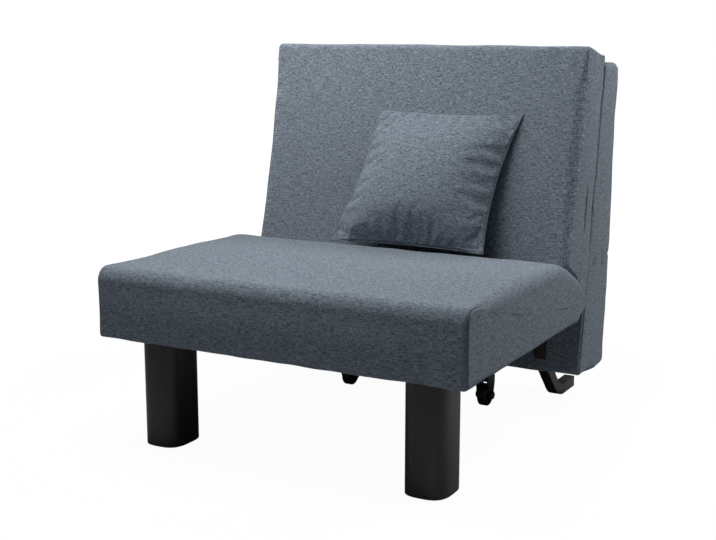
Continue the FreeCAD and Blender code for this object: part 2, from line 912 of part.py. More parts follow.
def skid_foot():
    """End of a skid that stands on the floor when the bed is open."""
    drop = seat_top - rear_hinge_depth
    lean = math.radians(rear_lean)
    z = skid_knee_z
    y = upper_hinge.y - (drop - (z - upper_hinge.z) * math.sin(lean)) / math.cos(lean)
    rise = (skid_knee_y - y) * math.tan(lean)
    return y - rise * math.sin(lean), z + rise


def skid_corners(trim):
    """Path of a skid, shortened at both ends for the plugs."""
    foot_y, foot_z = skid_foot()
    floor = skid_tube / 2
    return [
        (skid_tail_y - trim, floor, 0),
        (skid_heel_y, floor, skid_heel_round),
        (skid_shin_y, skid_shin_z, skid_shin_round),
        (skid_knee_y, skid_knee_z, skid_knee_round),
        (foot_y + trim, foot_z, 0),
    ]


def skid_tube_side():
    """One bent skid tube."""
    return bent_tube(skid_corners(plug_flange), skid_tube, skid_wall, skid_x)


def skid_plug(end, inward):
    """Plug with a flange outside and a shank inside the end of a skid tube."""
    hole = skid_tube - 2 * skid_wall - 2 * fit_gap
    flange = Part.Face(square_wire(skid_tube, end, inward)).extrude(inward * plug_flange)
    shank = Part.Face(square_wire(hole, end, inward)).extrude(inward * (plug_flange + plug_insert))
    plug = flange.fuse(shank).removeSplitter()
    plug.translate(Vector(skid_x, 0, 0))
    return plug


def skid_tail_plug():
    """Plug at the rear end of a skid."""
    return skid_plug(Vector(0, skid_tail_y, skid_tube / 2), Vector(0, -1, 0))


def skid_foot_plug():
    """Plug at the end that becomes the bed's foot."""
    y, z = skid_foot()
    inward = Vector(0, skid_knee_y - y, skid_knee_z - z).normalize()
    return skid_plug(Vector(0, y, z), inward)


def skid_gusset():
    """Plate that joins a skid's shin to the rear panel's bottom rail."""
    low = rear_span()[0]
    near = rear_front_place.multVec(Vector(0, rear_frame_depth, low))
    far = rear_front_place.multVec(Vector(0, rear_frame_depth + frame_tube, low))
    heel = Vector(0, skid_heel_y, skid_tube / 2)
    shin = Vector(0, skid_shin_y, skid_shin_z)
    along = shin.sub(heel).normalize()
    out = Vector(0, along.z, -along.y) * (skid_tube / 2)
    lower = shin + out - along * gusset_low
    upper = shin + out - along * gusset_high
    corners = [(p.y, p.z, 0) for p in (near, far, lower, upper)]
    x1 = skid_x + skid_tube / 2
    return yz_prism(corners, x1 - gusset_thickness, x1)


def skid_gussets():
    """Two gussets on each skid, flush with its sides."""
    outer = skid_gusset()
    inner = outer.translated(Vector(gusset_thickness - skid_tube, 0, 0))
    return Part.makeCompound([outer, inner, mirrored(outer), mirrored(inner)])


# Pivot bolts with their nuts and washers

def pivot_bolt(radius, across, x0, x1, centre):
    """Hexagon bolt along X with its head at the inner end."""
    head = hexagon(across, x0 - bolt_head_height, x0, centre)
    return head.fuse(rod(radius, x0 - 1, x1, centre)).removeSplitter()


def pivot_nut(radius, across, x0, centre):
    """Nut on the outer end of a pivot bolt."""
    return hexagon(across, x0, x0 + bolt_head_height, centre).cut(rod(radius, x0 - 1, x0 + 2 * bolt_head_height, centre))


def pivot_washer(radius, outer, x0, centre):
    """Washer between two leaves."""
    ring = rod(outer, x0, x0 + washer_thickness, centre)
    return ring.cut(rod(radius, x0 - 1, x0 + 2 * washer_thickness, centre))


def pivot_outer_x(x):
    """Outer side of the second leaf of a hinge, with a little play."""
    return x + 2 * leaf_thickness + washer_thickness + 2 * fit_gap


def lower_bolt():
    """Pivot bolt of a lower hinge."""
    end = pivot_outer_x(lower_hinge_x) + bolt_head_height
    return pivot_bolt(lower_pin_radius, lower_bolt_across, lower_hinge_x, end, lower_hinge)


def upper_bolt():
    """Pivot bolt of an upper hinge."""
    end = pivot_outer_x(upper_hinge_x) + bolt_head_height
    return pivot_bolt(upper_pin_radius, upper_bolt_across, upper_hinge_x, end, upper_hinge)


# Loose cushion

def pillow_place():
    """Cushion's frame: Z up its middle plane from the seat, Y behind it."""
    return leaning(Vector(pillow_x, seat_depth - pillow_foot_in, seat_top + fit_gap), pillow_lean)


def pillow_face(bulge, inset):
    """One side of the cushion: a smooth sheet over control points, bulging from its seam.

    The height over the middle plane is the bulge times a rounded cosine each way,
    each seam is pulled in between its corners, and the top leans to the right."""
    steps = 8
    rows = []
    for i in range(steps + 1):
        a = math.pi * (i / steps - 0.5)
        row = []
        for j in range(steps + 1):
            b = math.pi * (j / steps - 0.5)
            u = math.sin(a)
            v = math.sin(b)
            x = (pillow_width / 2 - inset) * u * (1 - pillow_pull * (1 - v * v)) + pillow_skew * v
            z = (pillow_height / 2 - inset) * v * (1 - pillow_pull * (1 - u * u))
            lift = abs(math.cos(a) * math.cos(b)) ** 0.7
            row.append(Vector(x, bulge * lift, z + pillow_height / 2))
        rows.append(row)
    degree = 3
    inner_knots = steps - degree
    knots = [float(k) for k in range(inner_knots + 2)]
    repeats = [degree + 1] + [1] * inner_knots + [degree + 1]
    surface = Part.BSplineSurface()
    surface.buildFromPolesMultsKnots(rows, repeats, repeats, knots, knots, False, False, degree, degree)
    return surface.toShape()


def pillow_block(inset):
    """Closed cushion form."""
    front = pillow_face(-pillow_front_bulge + inset, inset)
    back = pillow_face(pillow_back_bulge - inset, inset)
    shell = Part.makeShell([front, back])
    shell.sewShape()
    solid = Part.Solid(Part.Shell(shell.Faces))
    if solid.Volume < 0:
        solid.reverse()
    return placed(solid, pillow_place())


def pillow_cover():
    """Fabric of the loose cushion, a closed skin round its filling."""
    inner = pillow_block(pillow_wall).Shells[0].reversed()
    return Part.makeSolid(Part.makeCompound([pillow_block(0).Shells[0], inner]))


def pillow_filling():
    """Filling of the loose cushion."""
    return pillow_block(pillow_wall + fit_gap)


# Every node with its solid or its group of solids

def all_nodes():
    """Node name to shape, in the frame whose Y counts from the seat's front."""
    seat_span = (seat_frame_front, seat_frame_rear)
    back_span = (back_frame_low, back_frame_top())
    lower_washer_x = lower_hinge_x + leaf_thickness
    upper_washer_x = upper_hinge_x + leaf_thickness
    nut_a = pivot_outer_x(lower_hinge_x)
    nut_b = pivot_outer_x(upper_hinge_x)
    nodes = {
        "seat_cover": seat_cover(),
        "seat_lining": seat_lining(),
        "seat_foam": seat_foam(),
        "seat_frame": seat_frame(),
        "seat_slats": placed(slats(seat_frame_width(), *seat_span), seat_core_place()),
        "seat_slat_caps": placed(slat_caps(seat_frame_width(), *seat_span), seat_core_place()),
        "leg_plates": both_sides(leg_plate()),
        "leg_screws": Part.makeCompound([leg_screw(x) for x in leg_screw_places()]),
        "leg_studs": both_sides(leg_stud()),
        "leg_glides": both_sides(leg_glide()),
        "castor_axles": both_sides(castor_axle()),
        "back_cover": back_cover(),
        "back_lining": back_lining(),
        "back_foam": back_foam(),
        "back_frame": back_frame(),
        "back_slats": placed(slats(back_frame_width(), *back_span), back_core_place()),
        "back_slat_caps": placed(slat_caps(back_frame_width(), *back_span), back_core_place()),
        "rear_cover": rear_cover(),
        "rear_lining": rear_lining(),
        "rear_foam": rear_foam(),
        "rear_frame": rear_frame(),
        "rear_slats": placed(slats(rear_frame_width(), *rear_span()), rear_core_place()),
        "rear_slat_caps": placed(slat_caps(rear_frame_width(), *rear_span()), rear_core_place()),
        "seat_hinge_leaves": both_sides(seat_leaf()),
        "back_lower_leaves": both_sides(back_lower_leaf()),
        "back_upper_leaves": both_sides(back_upper_leaf()),
        "rear_upper_leaves": both_sides(rear_upper_leaf()),
        "lower_hinge_bolts": both_sides(lower_bolt()),
        "lower_hinge_washers": both_sides(
            pivot_washer(lower_pin_radius, lower_eye_radius, lower_washer_x, lower_hinge)),
        "lower_hinge_nuts": both_sides(pivot_nut(lower_pin_radius, lower_bolt_across, nut_a, lower_hinge)),
        "upper_hinge_bolts": both_sides(upper_bolt()),
        "upper_hinge_washers": both_sides(
            pivot_washer(upper_pin_radius, upper_eye_radius, upper_washer_x, upper_hinge)),
        "upper_hinge_nuts": both_sides(pivot_nut(upper_pin_radius, upper_bolt_across, nut_b, upper_hinge)),
        "skid_gussets": skid_gussets(),
        "skid_tail_plugs": both_sides(skid_tail_plug()),
        "skid_foot_plugs": both_sides(skid_foot_plug()),
        "pillow_cover": pillow_cover(),
        "pillow_filling": pillow_filling(),
    }
    pairs = {
        "front_leg": front_leg(),
        "castor_strut": castor_strut(),
        "castor_fork": castor_fork(),
        "castor_hub": castor_hub(),
        "castor_tyre": castor_tyre(),
        "skid_tube": skid_tube_side(),
    }
    for name, shape in pairs.items():
        nodes[name + "_right"] = shape
        nodes[name + "_left"] = mirrored(shape)
    return nodes


def middle_y(nodes):
    """Halfway between the seat's front face and the rearmost point."""
    front = nodes["seat_cover"].optimalBoundingBox().YMin
    rear = nodes["rear_cover"].optimalBoundingBox().YMax
    return (front + rear) / 2


def main():
    """Write one file per node, with the origin on the floor under the middle."""
    os.makedirs("parts", exist_ok=True)
    nodes = all_nodes()
    shift = Vector(0, -middle_y(nodes), 0)
    for name, shape in nodes.items():
        shape.translated(shift).exportStep(f"parts/{name}.step")


main()
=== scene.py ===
"""Dresses the convertible chair bed: padded panels, a loose cushion, finishes and a studio.

Metres, in the chair's own frame: X to the right, Y from the seat's front to the back,
Z up from the floor. Every sub-assembly is a class that holds its sizes and builds its
own meshes, and every finish is a small class that draws its own shader nodes.
"""

import json
import logging
import math
from dataclasses import dataclass, replace
from enum import Enum

import bpy
import numpy as np
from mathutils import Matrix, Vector


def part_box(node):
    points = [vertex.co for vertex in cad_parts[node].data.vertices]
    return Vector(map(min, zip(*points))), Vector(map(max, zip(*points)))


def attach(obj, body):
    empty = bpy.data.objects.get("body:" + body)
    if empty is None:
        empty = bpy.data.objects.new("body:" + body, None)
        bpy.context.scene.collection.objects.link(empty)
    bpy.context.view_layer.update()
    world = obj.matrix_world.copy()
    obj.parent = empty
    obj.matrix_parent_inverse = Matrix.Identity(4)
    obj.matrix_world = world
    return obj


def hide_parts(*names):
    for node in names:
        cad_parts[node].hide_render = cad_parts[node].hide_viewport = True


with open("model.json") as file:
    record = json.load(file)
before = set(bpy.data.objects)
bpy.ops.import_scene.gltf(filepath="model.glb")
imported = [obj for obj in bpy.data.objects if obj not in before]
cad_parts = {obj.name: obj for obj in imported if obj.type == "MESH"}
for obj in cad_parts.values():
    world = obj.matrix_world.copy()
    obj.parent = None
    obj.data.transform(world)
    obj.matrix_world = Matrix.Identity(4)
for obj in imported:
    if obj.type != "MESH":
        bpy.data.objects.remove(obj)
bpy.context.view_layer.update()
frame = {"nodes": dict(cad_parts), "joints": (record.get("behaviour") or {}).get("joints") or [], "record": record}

LOG = logging.getLogger("chair_bed")
CLOTH_MAP = "cloth"
MM = 0.001

Array = np.ndarray
Rgb = tuple[float, float, float]
Socket = bpy.types.NodeSocket


class Body(str, Enum):
    """The bodies that a piece may ride on."""

    SEAT = "seat"
    BACK = "back_rest"
    REAR = "rear_panel"
    CUSHION = "loose_cushion"


class Slot(str, Enum):
    """The material slots that pieces made here take their finish from."""

    UPHOLSTERY = "upholstery_fabric"


def unit(vectors: Array) -> Array:
    """Vectors divided by their lengths, along the last axis."""
    return vectors / np.linalg.norm(vectors, axis=-1, keepdims=True)


def smooth_step(low: float, high: float, values: Array) -> Array:
    """Zero below low, one above high, and the cubic 3t^2 - 2t^3 between them."""
    share = np.clip((values - low) / (high - low), 0.0, 1.0)
    return share * share * (3.0 - 2.0 * share)


def soft_waves(points: Array, wavelength: float, seed: int, count: int = 10) -> Array:
    """Smooth uneven field: plane sine waves in random directions, over their count's root.

    Args:
        points: Places, with X, Y and Z on the last axis.
        wavelength: Middle length of the waves. Each wave's own length is 0.6 to 1.6 of it.
        seed: Seed of the directions, lengths and phases.
        count: How many waves are added.

    Returns:
        One value for each place, mostly between -1 and 1.
    """
    source = np.random.default_rng(seed)
    directions = unit(source.normal(size=(count, 3)))
    lengths = wavelength * source.uniform(0.6, 1.6, count)
    phases = source.uniform(0.0, 2.0 * math.pi, count)
    turns = points @ (directions * (2.0 * math.pi / lengths)[:, None]).T + phases
    return np.sin(turns).sum(axis=-1) / math.sqrt(count)


def flat_cross(first: Array, second: Array) -> Array:
    """Cross product of plane vectors: first x * second y - first y * second x."""
    return first[..., 0] * second[..., 1] - first[..., 1] * second[..., 0]


def enclosed_area(points: Array) -> float:
    """Twice the area inside a closed line (n, 2), negative where it runs clockwise."""
    return float(np.sum(flat_cross(points, np.roll(points, -1, axis=0))))


@dataclass(frozen=True)
class Lean:
    """A panel's own plane: depth behind its face and rise along it, leaning back."""

    origin: tuple[float, float]
    degrees: float

    def carry(self, depth: Array, rise: Array) -> tuple[Array, Array]:
        """Turns places by the lean, then shifts them to the origin.

        Args:
            depth: Distances behind the panel's face.
            rise: Distances along the face.

        Returns:
            Y and Z of the places.
        """
        sine, cosine = math.sin(math.radians(self.degrees)), math.cos(math.radians(self.degrees))
        y = self.origin[0] + rise * sine + depth * cosine
        z = self.origin[1] + rise * cosine - depth * sine
        return y, z

    def enter(self, y: Array, z: Array) -> tuple[Array, Array]:
        """Undoes carry.

        Args:
            y: Y of the places.
            z: Z of the places.

        Returns:
            Depth behind the panel's face, and rise along it.
        """
        sine, cosine = math.sin(math.radians(self.degrees)), math.cos(math.radians(self.degrees))
        along, up = y - self.origin[0], z - self.origin[1]
        return along * cosine - up * sine, along * sine + up * cosine


@dataclass(frozen=True)
class Outline:
    """Closed side outline of a panel, from corners of (depth, rise, radius)."""

    corners: tuple[tuple[float, float, float], ...]

    def _frame(self) -> tuple[Array, Array, Array, Array, Array]:
        """Reads the corners, and finds which way each one turns.

        Returns:
            Places, radii, unit vectors to the corner before and the one after, and 1 for
            a convex corner or -1 for a hollow one.
        """
        table = np.array(self.corners)
        places, radii = table[:, :2], table[:, 2]
        before = unit(np.roll(places, 1, axis=0) - places)
        after = unit(np.roll(places, -1, axis=0) - places)
        turn = flat_cross(before, after)
        convex = np.where(turn * enclosed_area(places) < 0.0, 1.0, -1.0)
        return places, radii, before, after, convex

    def inset(self, distance: float) -> "Outline":
        """Outline whose straight sides have all moved inwards.

        A corner moves along its bisector by the distance over the sine of half its
        angle. A convex corner's radius loses the distance and a hollow one's gains it.

        Args:
            distance: How far the sides move, negative for outwards.

        Returns:
            The new outline, with the corners in the same order.
        """
        places, radii, before, after, convex = self._frame()
        sine = np.sqrt((1.0 - np.sum(before * after, axis=1)) / 2.0)
        moved = places + unit(before + after) * (convex * distance / sine)[:, None]
        rounds = np.maximum(radii - convex * distance, 0.5 * MM)
        return Outline(tuple(map(tuple, np.column_stack([moved, rounds]))))

    def trace(self, straight: list[int], arcs: list[int]) -> tuple[Array, Array, Array]:
        """Points along the outline, with the same count on every inset of it.

        A corner's arc turns from one unit vector u to another v by
        (sin((1 - w)a) u + sin(wa) v) / sin(a), and a straight side is divided evenly.

        Args:
            straight: Spans on the straight side after each corner.
            arcs: Spans on each corner's arc.

        Returns:
            Points (n, 2), the side that each is on, and its share of the way along it.
            On an arc the share is 0.
        """
        places, radii, before, after, _ = self._frame()
        half = np.arccos(np.clip(np.sum(before * after, axis=1), -1.0, 1.0)) / 2.0
        reach = (radii / np.tan(half))[:, None]
        starts, ends = places + before * reach, places + after * reach
        centres = places + unit(before + after) * (radii / np.sin(half))[:, None]
        points, sides, shares = [], [], []
        for i, spans in enumerate(arcs):
            weight = np.linspace(0.0, 1.0, spans + 1)[:, None]
            turn = math.pi - 2.0 * half[i]
            first, last = starts[i] - centres[i], ends[i] - centres[i]
            arc = np.sin((1.0 - weight) * turn) * first + np.sin(weight * turn) * last
            arc = arc / math.sin(turn)
            share = np.arange(1, straight[i])[:, None] / straight[i]
            run = ends[i] + (starts[(i + 1) % len(arcs)] - ends[i]) * share
            points += [centres[i] + arc, run]
            sides += [np.full(spans + straight[i], i)]
            shares += [np.zeros(spans + 1), share[:, 0]]
        return np.vstack(points), np.concatenate(sides), np.concatenate(shares)

    def spans(self, spacing: float, arc_spacing: float) -> tuple[list[int], list[int]]:
        """Counts for trace, so that points lie about a spacing apart.

        Args:
            spacing: Distance between points on the straight sides.
            arc_spacing: Distance between points on the corners' arcs.

        Returns:
            Spans on the straight side after each corner, and on each corner's arc.
        """
        places, radii, before, after, _ = self._frame()
        half = np.arccos(np.clip(np.sum(before * after, axis=1), -1.0, 1.0)) / 2.0
        reach = radii / np.tan(half)
        lengths = np.linalg.norm(np.roll(places, -1, axis=0) - places, axis=1)
        lengths = lengths - reach - np.roll(reach, -1)
        turns = (math.pi - 2.0 * half) * radii
        straight = [max(2, round(value / spacing)) for value in lengths]
        return straight, [max(3, round(value / arc_spacing)) for value in turns]


def mesh_object(
    name: str, points: Array, faces: Array, corner_map: Array | None = None
) -> bpy.types.Object:
    """Mesh object with smooth faces that point outwards, and a cloth map in metres.

    The sign of the enclosed volume, a sum of one sixth of a . (b x c) over the faces'
    triangles, tells whether all faces have to be turned.

    Args:
        name: Name of the object.
        points: Vertex places (n, 3).
        faces: Vertex numbers (f, 4). A triangle repeats its third number.
        corner_map: Place on the cloth of each face corner (f, 4, 2).

    Returns:
        The new object, at the origin, in the scene's collection.
    """
    a, b, c, d = (points[faces[:, i]] for i in range(4))
    volume = np.sum(a * np.cross(b, c)) + np.sum(a * np.cross(c, d))
    if volume < 0.0:
        faces = faces[:, ::-1]
        corner_map = None if corner_map is None else corner_map[:, ::-1]
    kept = np.ones(faces.shape, bool)
    kept[:, 1:] = faces[:, 1:] != faces[:, :-1]
    loops = faces[kept]
    sizes = kept.sum(axis=1)
    mesh = bpy.data.meshes.new(name)
    mesh.vertices.add(len(points))
    mesh.vertices.foreach_set("co", points.astype(np.float32).ravel())
    mesh.loops.add(len(loops))
    mesh.loops.foreach_set("vertex_index", loops.astype(np.int32))
    mesh.polygons.add(len(faces))
    starts = np.concatenate([[0], np.cumsum(sizes)[:-1]])
    mesh.polygons.foreach_set("loop_start", starts.astype(np.int32))
    mesh.polygons.foreach_set("loop_total", sizes.astype(np.int32))
    mesh.polygons.foreach_set("use_smooth", np.ones(len(faces), bool))
    if corner_map is not None:
        layer = mesh.uv_layers.new(name=CLOTH_MAP)
        layer.data.foreach_set("uv", corner_map[kept].astype(np.float32).ravel())
    mesh.update(calc_edges=True)
    mesh.validate()
    piece = bpy.data.objects.new(name, mesh)
    bpy.context.scene.collection.objects.link(piece)
    return piece


def grid_faces(rows: int, columns: int, closed: bool) -> Array:
    """Quads of a grid.

    Args:
        rows: Rows of vertices.
        columns: Vertices in each row.
        closed: Whether the last column joins the first.

    Returns:
        Vertex numbers (f, 4).
    """
    across = np.arange(columns if closed else columns - 1)
    down = np.arange(rows - 1)[:, None]
    following = (across + 1) % columns
    corners = [down * columns + across, down * columns + following]
    corners += [(down + 1) * columns + following, (down + 1) * columns + across]
    return np.stack(corners, axis=-1).reshape(-1, 4)


def refine(piece: bpy.types.Object, levels: int) -> None:
    """Gives a piece a live subdivision surface, alike on screen and in renders.

    Args:
        piece: The object.
        levels: How often each face is divided.
    """
    modifier = piece.modifiers.new("smooth", "SUBSURF")
    modifier.levels = levels
    modifier.render_levels = levels


class Graph:
    """Short ways to add and join a material's shader nodes."""

    def __init__(self, name: str) -> None:
        """Starts a material with one main shader and its output."""
        self.material = bpy.data.materials.new(name)
        self.material.use_nodes = True
        self.tree = self.material.node_tree
        self.shader = self.tree.nodes["Principled BSDF"]

    def feed(self, socket: Socket, value: object) -> None:
        """Links a socket to another, or sets its own value."""
        if isinstance(value, Socket):
            self.tree.links.new(value, socket)
        else:
            socket.default_value = value

    def node(
        self, kind: str, inputs: dict[str | int, object], output: str | int = 0, **settings: object
    ) -> Socket:
        """Adds a shader node.

        Args:
            kind: The node's type, without its common beginning.
            inputs: Values or sockets by input name or number.
            output: Which output to return.
            settings: The node's own properties.

        Returns:
            The chosen output socket.
        """
        made = self.tree.nodes.new("ShaderNode" + kind)
        for key, value in settings.items():
            setattr(made, key, value)
        for key, value in inputs.items():
            self.feed(made.inputs[key], value)
        return made.outputs[output]

    def math(self, operation: str, *values: object) -> Socket:
        """A maths node's result."""
        return self.node("Math", dict(enumerate(values)), operation=operation)

    def mix(self, share: object, first: object, second: object) -> Socket:
        """Colour between two colours."""
        return self.node("Mix", {0: share, 6: first, 7: second}, 2, data_type="RGBA")

    def stretched(self, place: Socket, scale: tuple[float, float, float]) -> Socket:
        """Coordinates multiplied by a scale along each axis."""
        return self.node("Mapping", {"Vector": place, "Scale": scale})

    def noise(self, place: Socket, scale: float, detail: float = 2.0, rough: float = 0.5) -> Socket:
        """Cloudy noise between 0 and 1."""
        inputs = {"Vector": place, "Scale": scale, "Detail": detail, "Roughness": rough}
        return self.node("TexNoise", inputs)

    def flat_noise(self, place: Socket, across: float, along: float, detail: float = 1.0) -> Socket:
        """Noise over a cloth map, stretched into cells.

        Args:
            place: The cloth map's coordinates.
            across: Length of a cell across the cloth.
            along: Length of a cell along the cloth.
            detail: How many finer layers are added.

        Returns:
            Values between 0 and 1.
        """
        spread = self.stretched(place, (1.0 / across, 1.0 / along, 1.0))
        inputs = {"Vector": spread, "Scale": 1.0, "Detail": detail, "Roughness": 0.6}
        return self.node("TexNoise", inputs, noise_dimensions="2D")

    def split(self, place: Socket) -> tuple[Socket, Socket]:
        """Takes a place apart.

        Args:
            place: Coordinates.

        Returns:
            The first two of them.
        """
        made = self.tree.nodes.new("ShaderNodeSeparateXYZ")
        self.feed(made.inputs[0], place)
        return made.outputs[0], made.outputs[1]

    def levels(
        self, value: Socket, low: float, high: float, start: float = 0.0, end: float = 1.0
    ) -> Socket:
        """Carries a value from one range onto another, clamped.

        Args:
            value: The value.
            low: Where the first range starts.
            high: Where it ends.
            start: Where the second range starts.
            end: Where it ends.

        Returns:
            The carried value.
        """
        inputs = {"Value": value, "From Min": low, "From Max": high, "To Min": start, "To Max": end}
        return self.node("MapRange", inputs)

    def bump(self, height: Socket, strength: float, distance: float) -> None:
        """Adds relief to the main shader."""
        inputs = {"Height": height, "Strength": strength, "Distance": distance}
        self.feed(self.shader.inputs["Normal"], self.node("Bump", inputs))

    def dress(self, **values: object) -> None:
        """Sets the main shader's inputs, by name with underscores for spaces."""
        for key, value in values.items():
            self.feed(self.shader.inputs[key.replace("_", " ")], value)


def opaque(colour: Rgb) -> tuple[float, float, float, float]:
    """A colour with full cover."""
    return (*colour, 1.0)


@dataclass(frozen=True)
class Finish:
    """A surface finish that becomes one shared material."""

    name: str

    def material(self) -> bpy.types.Material:
        """Draws the material the first time that it is asked for.

        Returns:
            The finish's one shared material.
        """
        known = bpy.data.materials.get(self.name)
        if known is not None:
            return known
        graph = Graph(self.name)
        self.draw(graph)
        return graph.material

    def draw(self, graph: Graph) -> None:
        """Draws the shader nodes."""
        raise NotImplementedError


@dataclass(frozen=True)
class MelangeCloth(Finish):
    """Plain weave of uneven two-tone yarn, on the piece's own cloth map in metres."""

    dark: Rgb
    light: Rgb
    yarn: float = 1.2 * MM
    streak_width: float = 1.25 * MM
    streak_length: float = 9.0 * MM
    slub_width: float = 2.8 * MM
    slub_length: float = 30.0 * MM
    relief: float = 0.5 * MM

    def draw(self, graph: Graph) -> None:
        """Streaks of light and dark yarn both ways, over an over-and-under thread relief.

        The tone is half the weft's noise, a third of the warp's and a slow slub's share,
        and the thread relief is |sin| along one yarn or the other by a checker.
        """
        place = graph.node("UVMap", {}, uv_map=CLOTH_MAP)
        weft = graph.flat_noise(place, self.streak_length, self.streak_width)
        warp = graph.flat_noise(place, self.streak_width, self.streak_length)
        slub = graph.flat_noise(place, self.slub_length, self.slub_width)
        tone = graph.math("MULTIPLY_ADD", weft, 0.46, graph.math("MULTIPLY", warp, 0.34))
        tone = graph.math("MULTIPLY_ADD", slub, 0.2, tone)
        share = graph.levels(tone, 0.39, 0.61)
        colour = graph.mix(share, opaque(self.dark), opaque(self.light))
        pitch = math.pi / self.yarn
        across, along = graph.split(place)
        turns = (graph.math("SINE", graph.math("MULTIPLY", way, pitch)) for way in (across, along))
        warp_round, weft_round = (graph.math("ABSOLUTE", turn) for turn in turns)
        over = graph.node("TexChecker", {"Vector": place, "Scale": 1.0 / self.yarn}, "Fac")
        thread = graph.node("Mix", {0: over, 2: warp_round, 3: weft_round})
        height = graph.math("MULTIPLY_ADD", thread, 0.25, tone)
        graph.bump(height, 1.0, self.relief * 4.0)
        graph.dress(Base_Color=colour, Roughness=0.95, Sheen_Weight=0.12, Sheen_Roughness=0.5)
        graph.dress(Specular_IOR_Level=0.15)


@dataclass(frozen=True)
class StainedWood(Finish):
    """Dark stained or clear wood with long grain along one axis."""

    dark: Rgb
    light: Rgb
    along: tuple[float, float, float]
    gloss: float = 0.42
    coat: float = 0.15

    def draw(self, graph: Graph) -> None:
        """Grain from noise that is stretched along the board, in colour and relief."""
        place = graph.node("TexCoord", {}, "Object")
        grain = graph.noise(graph.stretched(place, self.along), 90.0, 6.0, 0.62)
        pores = graph.noise(graph.stretched(place, self.along), 420.0, 2.0, 0.5)
        colour = graph.mix(graph.levels(grain, 0.32, 0.7), opaque(self.dark), opaque(self.light))
        rough = graph.levels(grain, 0.3, 0.7, self.gloss - 0.06, self.gloss + 0.08)
        graph.bump(graph.math("ADD", grain, pores), 0.12, 0.2 * MM)
        graph.dress(Base_Color=colour, Roughness=rough, Coat_Weight=self.coat, Coat_Roughness=0.3)


@dataclass(frozen=True)
class CoatedMetal(Finish):
    """Painted or plated metal with faint unevenness and rubbed spots."""

    colour: Rgb
    worn: Rgb
    metallic: float
    gloss: float

    def draw(self, graph: Graph) -> None:
        """Fine mottling in colour and gloss, with a little orange peel."""
        place = graph.node("TexCoord", {}, "Object")
        cloud = graph.noise(place, 38.0, 5.0, 0.6)
        speck = graph.noise(place, 900.0, 2.0, 0.5)
        share = graph.levels(graph.math("MULTIPLY_ADD", speck, 0.25, cloud), 0.55, 0.85)
        colour = graph.mix(share, opaque(self.colour), opaque(self.worn))
        rough = graph.levels(cloud, 0.3, 0.7, self.gloss - 0.08, self.gloss + 0.1)
        graph.bump(speck, 0.08, 0.1 * MM)
        graph.dress(Base_Color=colour, Roughness=rough, Metallic=self.metallic)


@dataclass(frozen=True)
class MouldedPlastic(Finish):
    """Moulded plastic or rubber with a fine spark-eroded grain."""

    colour: Rgb
    scuffed: Rgb
    gloss: float
    grain: float = 1500.0

    def draw(self, graph: Graph) -> None:
        """Tiny even relief and slightly paler scuffs."""
        place = graph.node("TexCoord", {}, "Object")
        skin = graph.noise(place, self.grain, 2.0, 0.5)
        scuffs = graph.noise(place, 60.0, 6.0, 0.7)
        share = graph.levels(scuffs, 0.52, 0.8)
        colour = graph.mix(share, opaque(self.colour), opaque(self.scuffed))
        rough = graph.levels(scuffs, 0.35, 0.7, self.gloss - 0.05, self.gloss + 0.12)
        graph.bump(skin, 0.15, 0.08 * MM)
        graph.dress(Base_Color=colour, Roughness=rough)


@dataclass(frozen=True)
class BondedCloth(Finish):
    """Thin bonded lining cloth or foam: matte, with a fine dotted or porous relief."""

    colour: Rgb
    pale: Rgb
    pitch: float

    def draw(self, graph: Graph) -> None:
        """Round cells in relief, and cloudy colour."""
        place = graph.node("TexCoord", {}, "Object")
        cells = graph.node("TexVoronoi", {"Vector": place, "Scale": 1.0 / self.pitch})
        cloud = graph.noise(place, 55.0, 5.0, 0.65)
        colour = graph.mix(graph.levels(cloud, 0.35, 0.7), opaque(self.colour), opaque(self.pale))
        graph.bump(cells, 0.3, 0.25 * MM)
        graph.dress(Base_Color=colour, Roughness=0.9, Specular_IOR_Level=0.2)


UPHOLSTERY = MelangeCloth("upholstery_melange", (0.085, 0.106, 0.132), (0.315, 0.37, 0.43))
# Welt cloth: the upholstery's two yarn colours made paler. This is a painted highlight along the back rest's rear
# edges and the cushion's seam; the cords themselves are real.
HIGHLIGHT_WELT_CLOTH = MelangeCloth("welt_melange_painted_highlight", (0.13, 0.155, 0.185), (0.36, 0.41, 0.47))

ALONG_LEG = (1.0, 1.0, 0.06)
ALONG_SLAT = (0.05, 1.0, 1.0)

